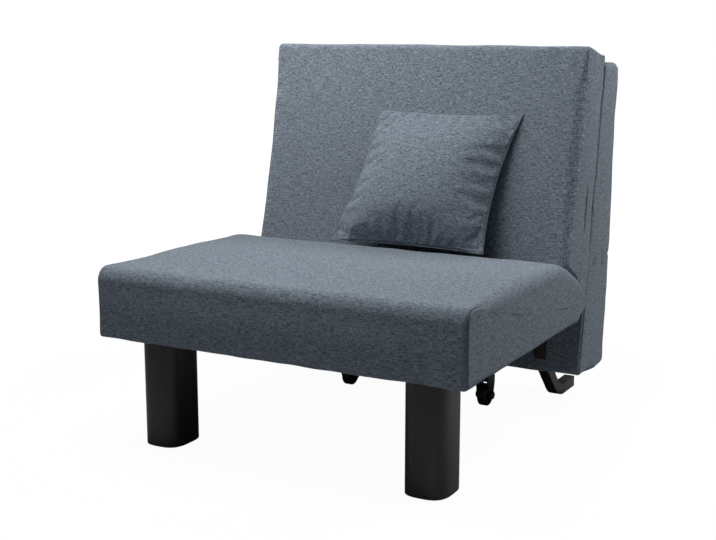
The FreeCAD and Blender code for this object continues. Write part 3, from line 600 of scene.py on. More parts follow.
NODE_FINISHES: dict[str, Finish] = {
    "leg_wood": StainedWood(
        "leg_dark_stain", (0.005, 0.0036, 0.0032), (0.0125, 0.008, 0.0066), ALONG_LEG
    ),
    "slat_beech": StainedWood(
        "slat_beech_lacquer", (0.42, 0.27, 0.15), (0.62, 0.44, 0.28), ALONG_SLAT
    ),
    "frame_steel": CoatedMetal(
        "frame_black_powder", (0.02, 0.02, 0.022), (0.035, 0.034, 0.034), 0.0, 0.5
    ),
    "zinc_steel": CoatedMetal(
        "zinc_plating", (0.46, 0.46, 0.45), (0.62, 0.61, 0.58), 1.0, 0.35
    ),
    "skid_metal": CoatedMetal(
        "skid_brown_lacquer", (0.024, 0.0165, 0.014), (0.07, 0.05, 0.043), 0.35, 0.42
    ),
    "cap_plastic": MouldedPlastic("slat_cap_black", (0.018,) * 3, (0.03,) * 3, 0.5),
    "glide_plastic": MouldedPlastic("glide_black", (0.02,) * 3, (0.04,) * 3, 0.55),
    "castor_plastic": MouldedPlastic(
        "castor_black", (0.01, 0.01, 0.011), (0.022, 0.021, 0.021), 0.32
    ),
    "castor_rubber": MouldedPlastic(
        "castor_tread", (0.014, 0.013, 0.013), (0.032, 0.03, 0.028), 0.5, 900.0
    ),
    "plug_plastic": MouldedPlastic("plug_black", (0.009,) * 3, (0.02,) * 3, 0.4),
    "lining_cloth": BondedCloth(
        "lining_black", (0.012, 0.012, 0.014), (0.026, 0.026, 0.03), 1.6 * MM
    ),
    "foam": BondedCloth("foam_cream", (0.62, 0.55, 0.38), (0.75, 0.7, 0.52), 1.1 * MM),
    "cushion_filling": BondedCloth(
        "filling_white", (0.7, 0.7, 0.68), (0.85, 0.85, 0.84), 2.5 * MM
    ),
    "upholstery_fabric": BondedCloth(
        "cover_lining", (0.12, 0.14, 0.17), (0.2, 0.23, 0.27), 1.4 * MM
    ),
}


def tube_map(faces: Array, columns: int, lengthwise: Array, around: Array) -> Array:
    """Place on the cloth of each corner of a tube's quads.

    Args:
        faces: Vertex numbers (f, 4) from grid_faces, closed round the tube.
        columns: Vertices in each ring.
        lengthwise: How far each ring lies along the tube.
        around: How far each column lies round it, with the whole way round as last.

    Returns:
        Places (f, 4, 2).
    """
    row, column = faces[:, 0] // columns, faces[:, 0] % columns
    down = lengthwise[np.stack([row, row, row + 1, row + 1], axis=1)]
    across = around[np.stack([column, column + 1, column + 1, column], axis=1)]
    return np.stack([down, across], axis=-1)


def end_fans(rows: int, columns: int) -> Array:
    """Triangles that close both ends of a tube of rings onto two added vertices.

    Args:
        rows: Rings of the tube.
        columns: Vertices in each ring.

    Returns:
        Vertex numbers (f, 4), the last one repeated. The two end vertices follow
        the rings' own.
    """
    ids = np.arange(columns)
    after, last = (ids + 1) % columns, (rows - 1) * columns
    first_end, last_end = (np.full(columns, rows * columns + i) for i in range(2))
    first_fan = np.stack([after, ids, first_end, first_end], axis=1)
    last_fan = np.stack([ids + last, after + last, last_end, last_end], axis=1)
    return np.vstack([first_fan, last_fan])


def cord_rings(path: Array, radius: float, closed: bool, spans: int) -> Array:
    """Rings of a round cord: a circle about the path's direction at each point.

    The circle's axes are the direction crossed with the X axis or, where the path runs
    along X, with the Z axis, and that axis crossed with the direction.

    Args:
        path: Points (n, 3) that the middle follows.
        radius: Radius of the cord.
        closed: Whether the last point joins the first.
        spans: Sides of the ring.

    Returns:
        Places (n, spans, 3).
    """
    if closed:
        tangent = unit(np.roll(path, -1, axis=0) - np.roll(path, 1, axis=0))
    else:
        tangent = unit(np.gradient(path, axis=0))
    level = np.where(np.abs(tangent[:, :1]) > 0.8, [[0.0, 0.0, 1.0]], [[1.0, 0.0, 0.0]])
    side = unit(np.cross(tangent, level))
    rise = np.cross(side, tangent)
    angle = np.arange(spans) * 2.0 * math.pi / spans
    ring = np.cos(angle)[:, None] * side[:, None, :] + np.sin(angle)[:, None] * rise[:, None, :]
    return path[:, None, :] + radius * ring


def welt(name: str, path: Array, radius: float, closed: bool, spans: int = 8) -> bpy.types.Object:
    """Round cord under cloth, carried along a path, its ends closed by a fan.

    Args:
        name: Name of the object.
        path: Points (n, 3) that the middle follows.
        radius: Radius of the cord.
        closed: Whether the last point joins the first.
        spans: Sides of the ring.

    Returns:
        The new object.
    """
    points = cord_rings(path, radius, closed, spans).reshape(-1, 3)
    count = len(path)
    line = np.vstack([path, path[:1]]) if closed else path
    walked = np.concatenate([[0.0], np.cumsum(np.linalg.norm(np.diff(line, axis=0), axis=1))])
    faces = grid_faces(len(line), spans, True)
    around = np.arange(spans + 1) * 2.0 * math.pi * radius / spans
    corner_map = tube_map(faces, spans, walked, around)
    if closed:
        return mesh_object(name, points, faces % (count * spans), corner_map)
    points = np.vstack([points, path[:1], path[-1:]])
    caps = end_fans(count, spans)
    corner_map = np.vstack([corner_map, np.zeros((len(caps), 4, 2))])
    return mesh_object(name, points, np.vstack([faces, caps]), corner_map)


@dataclass(frozen=True)
class PaddedBlock:
    """Foam block in a sewn cover: an outline carried across the width, its sides closed.

    The cover is a wrap over the outline and a side panel at each end, sewn together
    in a crease round the rim.
    """

    name: str
    outline: Outline
    place: Lean
    half_width: float
    rim: float
    crowns: tuple[float, ...]
    softness: tuple[tuple[float, float], ...]
    side_crown: float = 3.0 * MM
    wide_rim: float = 36.0 * MM
    crease: float = 2.2 * MM
    seam_turn: float = 52.0
    seam_half_width: float = 2.1 * MM
    arc_spacing: float = 4.0 * MM
    spacing: float = 6.0 * MM
    spacing_across: float = 12.0 * MM
    rim_steps: int = 12
    side_rings: int = 14
    seed: int = 1
    ripple: float = 0.7 * MM

    def profile(self, rim: float, crease: float) -> tuple[Array, Array, Array]:
        """Half of the cross section, from the middle plane to the side's centre.

        The roll is a quarter circle, dented by crease * exp(-(d / seam half width)^2) at
        the distance d from the seam.

        Args:
            rim: Radius of the roll from the wrap to the side panel.
            crease: Depth of the sewn crease in that roll.

        Returns:
            X of each ring, how far its outline is inset, and how much of the inset
            outline is left as the ring shrinks towards the side's centre.
        """
        flat = self.half_width - rim
        across = np.linspace(0.0, flat, round(self.half_width / self.spacing_across) + 1)
        angle = np.linspace(0.0, math.pi / 2.0, self.rim_steps + 1)[1:]
        off_seam = (angle - math.radians(self.seam_turn)) * rim
        dent = crease * np.exp(-((off_seam / self.seam_half_width) ** 2))
        radius = rim - dent
        x = np.concatenate([across, flat + radius * np.sin(angle)])
        inset = np.concatenate([np.zeros(len(across)), rim - radius * np.cos(angle)])
        left = np.linspace(1.0, 0.0, self.side_rings + 1)[1:-1]
        x = np.concatenate([x, np.full(len(left), self.half_width)])
        inset = np.concatenate([inset, np.full(len(left), rim)])
        keep = np.concatenate([np.ones(len(across) + len(angle)), left])
        return x, inset, keep

    def rim_share(self, sides: Array, shares: Array, on_arc: Array) -> Array:
        """How wide the rim's roll is at each point of the outline, from 0 to 1.

        Each corner and each side has its own softness. A side's ends blend into its
        corners' softness over a quarter of the side.

        Args:
            sides: The side that each point is on.
            shares: Its share of the way along that side.
            on_arc: Whether it is on the arc of the side's first corner.

        Returns:
            0 for the narrow roll, 1 for the wide one.
        """
        corner, side = np.array(self.softness).T
        start, middle, end = corner[sides], side[sides], np.roll(corner, -1)[sides]
        first = 1.0 - smooth_step(0.0, 0.25, shares)
        last = smooth_step(0.75, 1.0, shares)
        blended = middle + (start - middle) * first + (end - middle) * last
        return np.where(on_arc, start, blended)

    def surface(self) -> tuple[Array, Array, Array, int]:
        """The block's rings from the left side's centre to the right side's.

        Each ring is the inset outline at its own X, shrunk towards the outline's centre
        on the side panels. It is blended from a narrow roll and a wide one by the
        outline's softness. The crowns then lift the wrap's faces by
        crown * sin(pi t) ^ 1.6 along each face and (1 - (x / half width) ^ 6) across.

        Returns:
            Depth, rise and X of every point as (rings, points), and how many of the
            rings at each end belong to a side panel.
        """
        straight, arcs = self.outline.spans(self.spacing, self.arc_spacing)
        flat, sides, shares = self.outline.trace(straight, arcs)
        centre = (flat.max(axis=0) + flat.min(axis=0)) / 2.0
        width = self.rim_share(sides, shares, shares == 0.0)
        points, out = 0.0, 0.0
        rolls = ((self.rim, self.crease, 1.0 - width), (self.wide_rim, 0.0, width))
        for rim, crease, weight in rolls:
            x, inset, keep = self.profile(rim, crease)
            traced = [self.outline.inset(value).trace(straight, arcs)[0] for value in inset]
            places = centre + (np.stack(traced) - centre) * keep[:, None, None]
            points = points + places * weight[:, None]
            out = out + x[:, None] * weight
        tangent = np.roll(flat, -1, axis=0) - np.roll(flat, 1, axis=0)
        outward = unit(np.column_stack([tangent[:, 1], -tangent[:, 0]]))
        outward *= math.copysign(1.0, enclosed_area(flat))
        lift = np.array(self.crowns)[sides] * np.sin(math.pi * shares) ** 1.6
        fade = (1.0 - np.minimum(np.abs(out) / self.half_width, 1.0) ** 6) * (keep == 1.0)[:, None]
        points = points + outward * (lift * fade)[:, :, None]
        swell = self.side_crown * (1.0 - keep ** 2) * (keep < 1.0)
        out = out + swell[:, None]
        both = np.concatenate([points[:0:-1], points])
        x_all = np.concatenate([-out[:0:-1], out])
        return both[:, :, 0], both[:, :, 1], x_all, self.side_rings - 1

    def points(self) -> tuple[Array, int]:
        """Carries the surface into the chair's frame and softens it by slow waves.

        Returns:
            Places (rings, points, 3), and how many of the rings at each end belong to a
            side panel.
        """
        depth, rise, x, side_rings = self.surface()
        y, z = self.place.carry(depth, rise)
        places = np.stack([x, y, z], axis=-1)
        along = np.roll(places, -1, axis=1) - np.roll(places, 1, axis=1)
        across = np.gradient(places, axis=0)
        normal = unit(np.cross(along, across) + 1e-12)
        waves = soft_waves(places, 0.16, self.seed)
        waves = waves + 0.45 * soft_waves(places, 0.06, self.seed + 50)
        return self.detail(places + normal * (self.ripple * waves)[:, :, None], normal), side_rings

    def detail(self, places: Array, normal: Array) -> Array:
        """A panel's own seams and folds, on its places by their normals. Here none."""
        return places

    def build(self) -> bpy.types.Object:
        """Makes the closed mesh with its cloth map and one live subdivision.

        On the wrap the cloth map is walked across the rings and round the outline. On
        the side panels it is Y and Z.

        Returns:
            The new object.
        """
        places, side_rings = self.points()
        rings, columns = places.shape[:2]
        faces = grid_faces(rings, columns, True)
        flat = places.reshape(-1, 3)
        middle = places[rings // 2]
        steps = np.linalg.norm(np.roll(middle, -1, axis=0) - middle, axis=1)
        around = np.concatenate([[0.0], np.cumsum(steps)])
        wrap_map = tube_map(faces, columns, self.across_cloth(places), around)
        row = faces[:, 0] // columns
        on_side = (row < side_rings) | (row >= rings - 1 - side_rings)
        corner_map = np.where(on_side[:, None, None], flat[faces][:, :, 1:3], wrap_map)
        points = np.vstack([flat, places[0].mean(axis=0), places[-1].mean(axis=0)])
        caps = end_fans(rings, columns)
        corner_map = np.vstack([corner_map, points[caps][:, :, 1:3]])
        piece = mesh_object(self.name, points, np.vstack([faces, caps]), corner_map)
        refine(piece, 1)
        return piece

    def across_cloth(self, places: Array) -> Array:
        """Walks along the column half-way round.

        Args:
            places: The block's rings (rings, points, 3).

        Returns:
            How far each ring lies across the cloth.
        """
        line = places[:, places.shape[1] // 2]
        steps = np.linalg.norm(np.diff(line, axis=0), axis=1)
        return np.concatenate([[0.0], np.cumsum(steps)])


def joint_place(name: str) -> tuple[float, float]:
    """Y and Z of one of the frame's joints."""
    place = next(joint for joint in frame["joints"] if joint["name"] == name)["pos_m"]
    return place[1], place[2]


def finish_piece(
    piece: bpy.types.Object, finish: Finish, body: Body, nodes: tuple[str, ...]
) -> None:
    """Dresses a piece, and says what it rides on and stands for.

    Args:
        piece: The object.
        finish: Its finish.
        body: The body that it rides on.
        nodes: The frame's nodes that it replaces.
    """
    piece.data.materials.append(finish.material())
    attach(piece, body.value)
    if nodes:
        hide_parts(*nodes)
    LOG.info("%s: %d points, rides on %s", piece.name, len(piece.data.vertices), body.value)


@dataclass(frozen=True)
class SeatBlock(PaddedBlock):
    """The seat's padding: a recess under it holds the lining, and its hem is wavy."""

    recess_margin: float = 4.0 * MM
    recess_slope: float = 8.0 * MM
    recess_depth: float = 5.0 * MM
    hem_back: float = -0.435
    hem_front: float = -0.452
    hem_z: float = 0.25
    hem_reach: float = 0.035
    wave_length: float = 0.085
    wave_depth: float = 1.5 * MM

    def detail(self, places: Array, normal: Array) -> Array:
        """Lifts the underside over the lining, and lets the lower front edge wave.

        The recess is flat inside the lining's outline and fades out over its slope. The
        hem moves by a sine along X whose phase wanders, and more so towards the left.

        Args:
            places: The block's places (rings, points, 3).
            normal: Their unit normals.

        Returns:
            The changed places.
        """
        low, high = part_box("seat_lining")
        x, y, z = places[..., 0], places[..., 1], places[..., 2]
        inside = 1.0
        for room in (high.x - np.abs(x), y - low.y, high.y - y):
            inside = inside * smooth_step(0.0, self.recess_slope, room - self.recess_margin)
        under = np.clip((low.z + 0.03 - z) / 0.02, 0.0, 1.0)
        places = places.copy()
        places[..., 2] += self.recess_depth * inside * under
        front = smooth_step(self.hem_back, self.hem_front, y)
        front = front * np.exp(-(((z - self.hem_z) / self.hem_reach) ** 2))
        wave = np.sin(x * 2.0 * math.pi / self.wave_length + 1.3 * np.sin(x * 9.0))
        uneven = 0.35 + 0.65 * smooth_step(0.1, -0.3, x)
        places[..., 1] -= self.wave_depth * front * wave * uneven
        return places


@dataclass(frozen=True)
class RearBlock(PaddedBlock):
    """The rear panel's padding, with a level seam round its sides and back."""

    seam_z: float = 0.342
    groove_depth: float = 2.4 * MM
    groove_half_width: float = 3.0 * MM

    def detail(self, places: Array, normal: Array) -> Array:
        """Presses a groove in at the level seam, by depth * exp(-(d / half width)^2).

        Args:
            places: The block's places (rings, points, 3).
            normal: Their unit normals.

        Returns:
            The changed places.
        """
        off_seam = (places[..., 2] - self.seam_z) / self.groove_half_width
        depth = self.groove_depth * np.exp(-(off_seam**2))
        return places - normal * depth[..., None] * self.outward_sign(places, normal)

    @staticmethod
    def outward_sign(places: Array, normal: Array) -> float:
        """Plus one where the grid's normals point outwards, minus one where inwards."""
        middle = places.mean(axis=(0, 1))
        return math.copysign(1.0, float(np.sum((places - middle) * normal)))


@dataclass
class Seat:
    """The fixed seat: its padding and cover."""

    bottom: float
    top: float
    front: float
    nose: float
    half_width: float
    edge_round: float = 9.0 * MM
    front_round: float = 30.0 * MM
    hem_round: float = 8.0 * MM
    flat_share: float = 520.0 / 661.0
    nose_drop: float = 66.0 * MM
    nose_set_back: float = 13.0 * MM
    nose_tip_rise: float = 27.0 * MM
    nose_under: float = 61.0 * MM
    nose_round: float = 34.0 * MM
    tip_round: float = 15.0 * MM
    under_round: float = 14.0 * MM
    flat_round: float = 60.0 * MM
    plump_nose_round: float = 84.0 * MM
    plump_flat_round: float = 260.0 * MM
    fullness: float = 8.0 * MM

    @classmethod
    def from_frame(cls) -> "Seat":
        """Reads the sizes of the frame's seat cover.

        Returns:
            The seat.
        """
        low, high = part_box("seat_cover")
        return cls(bottom=low.z, top=high.z, front=low.y, nose=high.y, half_width=high.x)

    def outline(self) -> Outline:
        """Side outline in Y and Z, with the rounded nose behind.

        Returns:
            Corners from the lower front edge over the top and the nose to the underside.
        """
        flat_end = self.front + self.flat_share * (self.nose - self.front)
        return Outline((
            (self.front, self.bottom, self.hem_round),
            (self.front, self.top, self.front_round),
            (flat_end, self.top, self.flat_round),
            (self.nose - self.nose_set_back, self.top - self.nose_drop, self.nose_round),
            (self.nose, self.bottom + self.nose_tip_rise, self.tip_round),
            (self.nose - self.nose_under, self.bottom, self.under_round),
        ))

    def build(self) -> None:
        """Makes the seat's padding, plumper at the nose than the frame's cover."""
        crowns = (4.0 * MM, 13.0 * MM, 1.5 * MM, 1.0 * MM, 0.5 * MM, 0.0)
        softness = ((0.0, 0.0), (0.0, 1.0), (1.0, 1.0), (1.0, 0.8), (0.5, 0.2), (0.0, 0.0))
        plump = replace(
            self, flat_round=self.plump_flat_round, nose_round=self.plump_nose_round
        )
        block = SeatBlock(
            "seat_upholstery",
            plump.outline(),
            Lean((0.0, 0.0), 0.0),
            self.half_width + self.fullness,
            self.edge_round,
            crowns,
            softness=softness,
            wide_rim=30.0 * MM,
            seed=11,
        )
        piece = block.build()
        finish_piece(piece, UPHOLSTERY, Body.SEAT, ("seat_cover", "seat_foam"))


@dataclass
class BackRest:
    """The back rest, which leans back on the seat's nose."""

    place: Lean
    nose: Outline
    half_width: float
    lean: float = 12.4
    face_length: float = 0.564
    thickness: float = 0.115
    heel: tuple[float, float] = (0.16233, -0.005)
    toe: tuple[float, float] = (0.126, -0.014)
    foot: tuple[float, float] = (0.0, 0.070)
    nose_gap: float = 1.5 * MM
    top_room: float = 2.0 * MM
    edge_round: float = 7.0 * MM
    fullness: float = 7.0 * MM
    welt_radius: float = 2.2 * MM

    @classmethod
    def from_frame(cls, seat: Seat) -> "BackRest":
        """Takes the place from the frame's lower hinge and the seat's top.

        Args:
            seat: The seat that the back rest stands behind.

        Returns:
            The back rest.
        """
        hinge = joint_place("back_fold")
        y, z = Lean(hinge, cls.lean).carry(np.array(hinge[1] - seat.top), np.array(0.0))
        place = Lean((float(y), float(z)), cls.lean)
        return cls(place=place, nose=seat.outline(), half_width=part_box("back_cover")[1].x)

    def outline(self) -> Outline:
        """Side outline in the panel's own plane, hollow where it sits on the nose.

        The hollow follows the seat's outline, grown by the gap, from the back rest's
        face to its underside. It meets the face where the line from the seat's flat end
        to its crown has no depth, and the underside where the line from the crown to
        the tip crosses the one from the toe to the foot.

        Returns:
            Corners from the face's top over the back and the heel to the face's foot.
        """
        grown = self.nose.inset(-self.nose_gap).corners
        corners = (self.place.enter(*np.array(grown[i][:2])) for i in (2, 3, 4))
        flat_end, crown, tip = (np.array(corner) for corner in corners)
        slope = (crown[1] - flat_end[1]) / (crown[0] - flat_end[0])
        toe, foot = np.array(self.toe), np.array(self.foot)
        edge, under = tip - crown, toe - foot
        meeting = crown + edge * flat_cross(foot - crown, under) / flat_cross(edge, under)
        top = self.face_length - self.top_room
        return Outline((
            (0.0, top, 14.0 * MM),
            (self.thickness, top, 9.0 * MM),
            (*self.heel, 17.0 * MM),
            (*self.toe, 5.0 * MM),
            (float(meeting[0]), float(meeting[1]), 3.0 * MM),
            (float(crown[0]), float(crown[1]), grown[3][2]),
            (0.0, float(flat_end[1] - flat_end[0] * slope), 5.0 * MM),
        ))

    def build(self) -> None:
        """Makes the back rest's padding and the welts along its rear edges, whose paler cloth paints a highlight
        on them.
        """
        block = PaddedBlock(
            "back_upholstery",
            self.outline(),
            self.place,
            self.half_width + self.fullness,
            self.edge_round,
            crowns=(0.0,) * 6 + (4.0 * MM,),
            softness=((0.0, 0.0),) * 5 + ((0.3, 0.3), (0.6, 1.0)),
            wide_rim=26.0 * MM,
            seed=23,
        )
        piece = block.build()
        finish_piece(piece, UPHOLSTERY, Body.BACK, ("back_cover", "back_foam"))
        for side, label in ((-1.0, "left"), (1.0, "right")):
            cord = welt(f"back_welt_{label}", self.welt_path(side), self.welt_radius, False)
            # The paler welt cloth paints a highlight along the rear edge.
            finish_piece(cord, HIGHLIGHT_WELT_CLOTH, Body.BACK, ())

    def welt_path(self, side: float) -> Array:
        """Line along one side's rear edge, from the top round the heel to the toe.

        It follows the outline, inset to the middle of the edge's roll.

        Args:
            side: -1 for the left side, 1 for the right.

        Returns:
            Places (n, 3).
        """
        inside = self.edge_round * (1.0 - math.cos(math.radians(45.0)))
        edge = self.outline().inset(inside)
        points, sides, _ = edge.trace(*edge.spans(6.0 * MM, 3.0 * MM))
        depth, rise = points[(sides == 1) | (sides == 2)].T
        y, z = self.place.carry(depth, rise)
        x = np.full(len(rise), side * (self.half_width + self.fullness - inside))
        points = np.stack([x, y, z], axis=-1)
        return points + 0.6 * MM * soft_waves(points, 0.07, 5)[:, None] * np.array([0.0, 1.0, 0.0])


@dataclass
class RearPanel:
    """The rear panel, which hangs from the back rest's top."""

    place: Lean
    half_width: float
    lean: float = 1.42
    face: float = 0.006
    back: float = 0.121
    top: float = -0.009
    bend: float = -0.460
    bend_round: float = 0.150
    heel: tuple[float, float] = (0.101, -0.729)
    toe: tuple[float, float] = (-0.085, -0.715)
    edge_round: float = 8.0 * MM
    fullness: float = 7.0 * MM

    @classmethod
    def from_frame(cls) -> "RearPanel":
        """Takes the place from the frame's upper hinge.

        Returns:
            The rear panel.
        """
        place = Lean(joint_place("rear_fold"), cls.lean)
        return cls(place=place, half_width=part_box("rear_cover")[1].x)

    def outline(self) -> Outline:
        """Side outline in the panel's own plane, measured down from the hinge.

        Returns:
            Corners from the face's top over the back and its bend to the toe.
        """
        return Outline((
            (self.face, self.top, 12.0 * MM),
            (self.back, self.top, 18.0 * MM),
            (self.back, self.bend, self.bend_round),
            (*self.heel, 24.0 * MM),
            (*self.toe, 12.0 * MM),
        ))

    def build(self) -> None:
        """Makes the rear panel's padding."""
        block = RearBlock(
            "rear_upholstery",
            self.outline(),
            self.place,
            self.half_width + self.fullness,
            self.edge_round,
            crowns=(0.0, 3.0 * MM, 2.0 * MM, 1.5 * MM, 0.0),
            softness=((0.0, 0.2), (0.4, 1.0), (1.0, 1.0), (0.7, 0.3), (0.0, 0.0)),
            wide_rim=30.0 * MM,
            seed=37,
        )
        piece = block.build()
        finish_piece(piece, UPHOLSTERY, Body.REAR, ("rear_cover", "rear_foam"))


@dataclass
class LooseCushion:
    """The loose cushion: two sheets sewn at the edge and filled out."""

    foot: Lean
    back: Lean
    seat_top: float
    middle_x: float = 0.059
    foot_depth: float = 0.512
    lean: float = 23.0
    clearance: float = 1.2 * MM
    width: float = 0.384
    height: float = 0.322
    front_bulge: float = 0.050
    back_bulge: float = 0.0467
    skew: float = 0.025
    pull: float = 0.035
    side_pull: float = 0.09
    taper: float = 0.07
    sag: float = 0.18
    pucker_length: float = 0.038
    pucker_reach: float = 0.045
    columns: int = 96
    rows: int = 80
    surplus: float = 0.035
    pressure: float = 4.0
    frames: int = 20
    cap: float = 25.0 * MM

    @classmethod
    def from_frame(cls, seat: Seat, back: BackRest) -> "LooseCushion":
        """Takes the place from the seat's top and the back rest's face.

        Args:
            seat: The seat that the cushion stands on.
            back: The back rest that it leans on.

        Returns:
            The cushion.
        """
        foot = Lean((seat.front + cls.foot_depth, seat.top + 0.3 * MM), cls.lean)
        return cls(foot=foot, back=back.place, seat_top=seat.top)

    def sheets(self) -> tuple[Array, Array, Array]:
        """Two sheets that share their edge, puffed up by a formula.

        With a and b from -1 to 1 across and up, the half thickness is
        (cos(pi a / 2) cos(pi c / 2)) ^ 0.62, where c = b + sag * (1 - b ^ 2) lets the
        filling sink. Each side is pulled in by a share times (1 - t ^ 2) along it, and the
        top is narrower by the taper. Puckers stand beside the seams.

        Returns:
            Places (n, 3) as across, out and up, the quads (f, 4), and the edge's
            vertex numbers in order round the cushion.
        """
        even = np.linspace(-1.0, 1.0, self.columns + 1)
        a, b = np.meshgrid(even, np.linspace(-1.0, 1.0, self.rows + 1))
        sunk = b + self.sag * (1.0 - b ** 2)
        puff = np.clip(np.cos(math.pi * a / 2.0) * np.cos(math.pi * sunk / 2.0), 0.0, 1.0) ** 0.62
        narrowed = 1.0 - self.taper * (b + 1.0) / 2.0
        x = a * self.width / 2.0 * (narrowed - self.side_pull * (1.0 - b ** 2))
        z = b * self.height / 2.0 * (1.0 - self.pull * (1.0 - a ** 2))
        flat = np.stack([x, 0.0 * x, z], axis=-1)
        folds = self.puckers(a, b, flat)
        outward = np.array([0.0, 1.0, 0.0])
        front = flat - outward * (puff * self.front_bulge + folds)[..., None]
        behind = flat + outward * (puff * self.back_bulge + folds)[..., None]
        shape = a.shape
        front_ids = np.arange(a.size).reshape(shape)
        inner = np.zeros(shape, bool)
        inner[1:-1, 1:-1] = True
        back_ids = front_ids.copy()
        back_ids[inner] = front_ids.size + np.arange(inner.sum())
        quads = [self.cells(front_ids), self.cells(back_ids)[:, ::-1]]
        rim = [front_ids[0, :-1], front_ids[:-1, -1], front_ids[-1, :0:-1], front_ids[:0:-1, 0]]
        points = np.vstack([front.reshape(-1, 3), behind[inner]])
        return points, np.vstack(quads), np.concatenate(rim)

    def puckers(self, a: Array, b: Array, flat: Array) -> Array:
        """Height of the gathers beside the seams, which are deepest on the right side.

        Along each side it is depth * sin(2 pi s / length + wander), times
        1 - exp(-d / 6 mm) and exp(-d / reach) at the distance d from the seam.

        Args:
            a: Share of the half width, from -1 to 1.
            b: Share of the half height, from -1 to 1.
            flat: Places on the flat sheet.

        Returns:
            Height at each place, 0 at the seams and corners.
        """
        total = np.zeros(a.shape)
        half_x, half_z = self.width / 2.0, self.height / 2.0
        for along, inward, depth, phase in (
            (b * half_z, (1.0 - a) * half_x, 5.4 * MM, 0.4),
            (b * half_z, (1.0 + a) * half_x, 2.8 * MM, 1.9),
            (a * half_x, (1.0 - b) * half_z, 0.9 * MM, 2.6),
            (a * half_x, (1.0 + b) * half_z, 0.9 * MM, 0.9),
        ):
            uneven = soft_waves(flat, 0.12, 61 + int(phase * 10.0))
            turns = along * 2.0 * math.pi / self.pucker_length
            wave = np.sin(turns + phase + 1.4 * uneven) * (0.7 + 0.5 * uneven)
            rise = 1.0 - np.exp(-inward / (6.0 * MM))
            total += depth * wave * rise * np.exp(-inward / self.pucker_reach)
        corner = np.clip((1.0 - np.abs(a)) * (1.0 - np.abs(b)) * 14.0, 0.0, 1.0)
        return total * corner

    @staticmethod
    def cells(ids: Array) -> Array:
        """Quads of a grid of vertex numbers."""
        corners = [ids[:-1, :-1], ids[:-1, 1:], ids[1:, 1:], ids[1:, :-1]]
        return np.stack(corners, axis=-1).reshape(-1, 4)

    def inflate(self, points: Array, quads: Array, rim: Array) -> Array:
        """Lets the sheets fill out in a cloth simulation, held at their sewn edge.

        The cloth is a few percent larger than the formula's shape, so that it gathers.

        Args:
            points: Places (n, 3) of the formula's shape.
            quads: Vertex numbers (f, 4).
            rim: Vertex numbers of the sewn edge.

        Returns:
            The new places, none moved further than the cap.
        """
        piece = mesh_object("cushion_sheets", points, quads)
        held = piece.vertex_groups.new(name="held")
        held.add(rim.tolist(), 1.0, "REPLACE")
        cloth = piece.modifiers.new("fill", "CLOTH")
        settings = cloth.settings
        settings.vertex_group_mass = "held"
        settings.quality = 6
        settings.mass = 0.2
        settings.tension_stiffness = 25.0
        settings.compression_stiffness = 25.0
        settings.shear_stiffness = 8.0
        settings.bending_stiffness = 0.35
        settings.shrink_min = -self.surplus
        settings.use_pressure = True
        settings.uniform_pressure_force = self.pressure
        settings.effector_weights.gravity = 0.0
        cloth.collision_settings.use_collision = False
        cloth.point_cache.frame_start = 1
        cloth.point_cache.frame_end = self.frames
        for number in range(1, self.frames + 1):
            bpy.context.scene.frame_set(number)
        graph = bpy.context.evaluated_depsgraph_get()
        result = piece.evaluated_get(graph).data
        found = np.empty(len(result.vertices) * 3, np.float32)
        result.vertices.foreach_get("co", found)
        bpy.data.objects.remove(piece)
        bpy.context.scene.frame_set(1)
        moved = found.reshape(-1, 3).astype(float) - points
        distance = np.linalg.norm(moved, axis=1, keepdims=True)
        return points + moved * np.minimum(1.0, self.cap / np.maximum(distance, 1e-9))

    def build(self) -> None:
        """Makes the cushion, lays it against its neighbours, and sews its edge."""
        puffed, quads, rim = self.sheets()
        filled = self.inflate(puffed, quads, rim)
        places = self.settle(filled)
        corner_map = puffed[quads][:, :, [0, 2]]
        piece = mesh_object("cushion_cover_soft", places, quads, corner_map)
        refine(piece, 1)
        finish_piece(piece, UPHOLSTERY, Body.CUSHION, ("pillow_cover", "pillow_filling"))
        edge = welt("cushion_edge_seam", places[rim], 1.1 * MM, True, 6)
        # The seam cord takes the paler welt cloth, a painted highlight along the cushion's edge.
        finish_piece(edge, HIGHLIGHT_WELT_CLOTH, Body.CUSHION, ())

    def settle(self, filled: Array) -> Array:
        """Stands the shape on the seat, skewed and leaning against the back rest.

        Places that would pass the back rest's face or the seat's top are laid on it.

        Args:
            filled: Places (n, 3) as across, out and up.

        Returns:
            The places in the chair's frame.
        """
        across, out, up = filled[:, 0], filled[:, 1], filled[:, 2] + self.height / 2.0
        x = self.middle_x + across + self.skew * (up / self.height - 0.5) * 2.0
        y, z = self.foot.carry(out, up)
        behind, rise = self.back.enter(y, z)
        y, z = self.back.carry(np.minimum(behind, -self.clearance), rise)
        z = np.maximum(z, self.seat_top + self.clearance)
        return np.stack([x, y, z], axis=-1)


@dataclass(frozen=True)
class Lamp:
    """A rectangular soft lamp."""

    name: str
    place: tuple[float, float, float]
    aim: tuple[float, float, float]
    size: tuple[float, float]
    power: float

    def build(self) -> None:
        """Hangs the lamp, turned towards its aim."""
        data = bpy.data.lights.new(self.name, "AREA")
        data.shape = "RECTANGLE"
        data.size, data.size_y = self.size
        data.energy = self.power
        lamp = bpy.data.objects.new(self.name, data)
        lamp.location = self.place
        direction = Vector(self.aim) - Vector(self.place)
        lamp.rotation_euler = direction.to_track_quat("-Z", "Y").to_euler()
        bpy.context.scene.collection.objects.link(lamp)


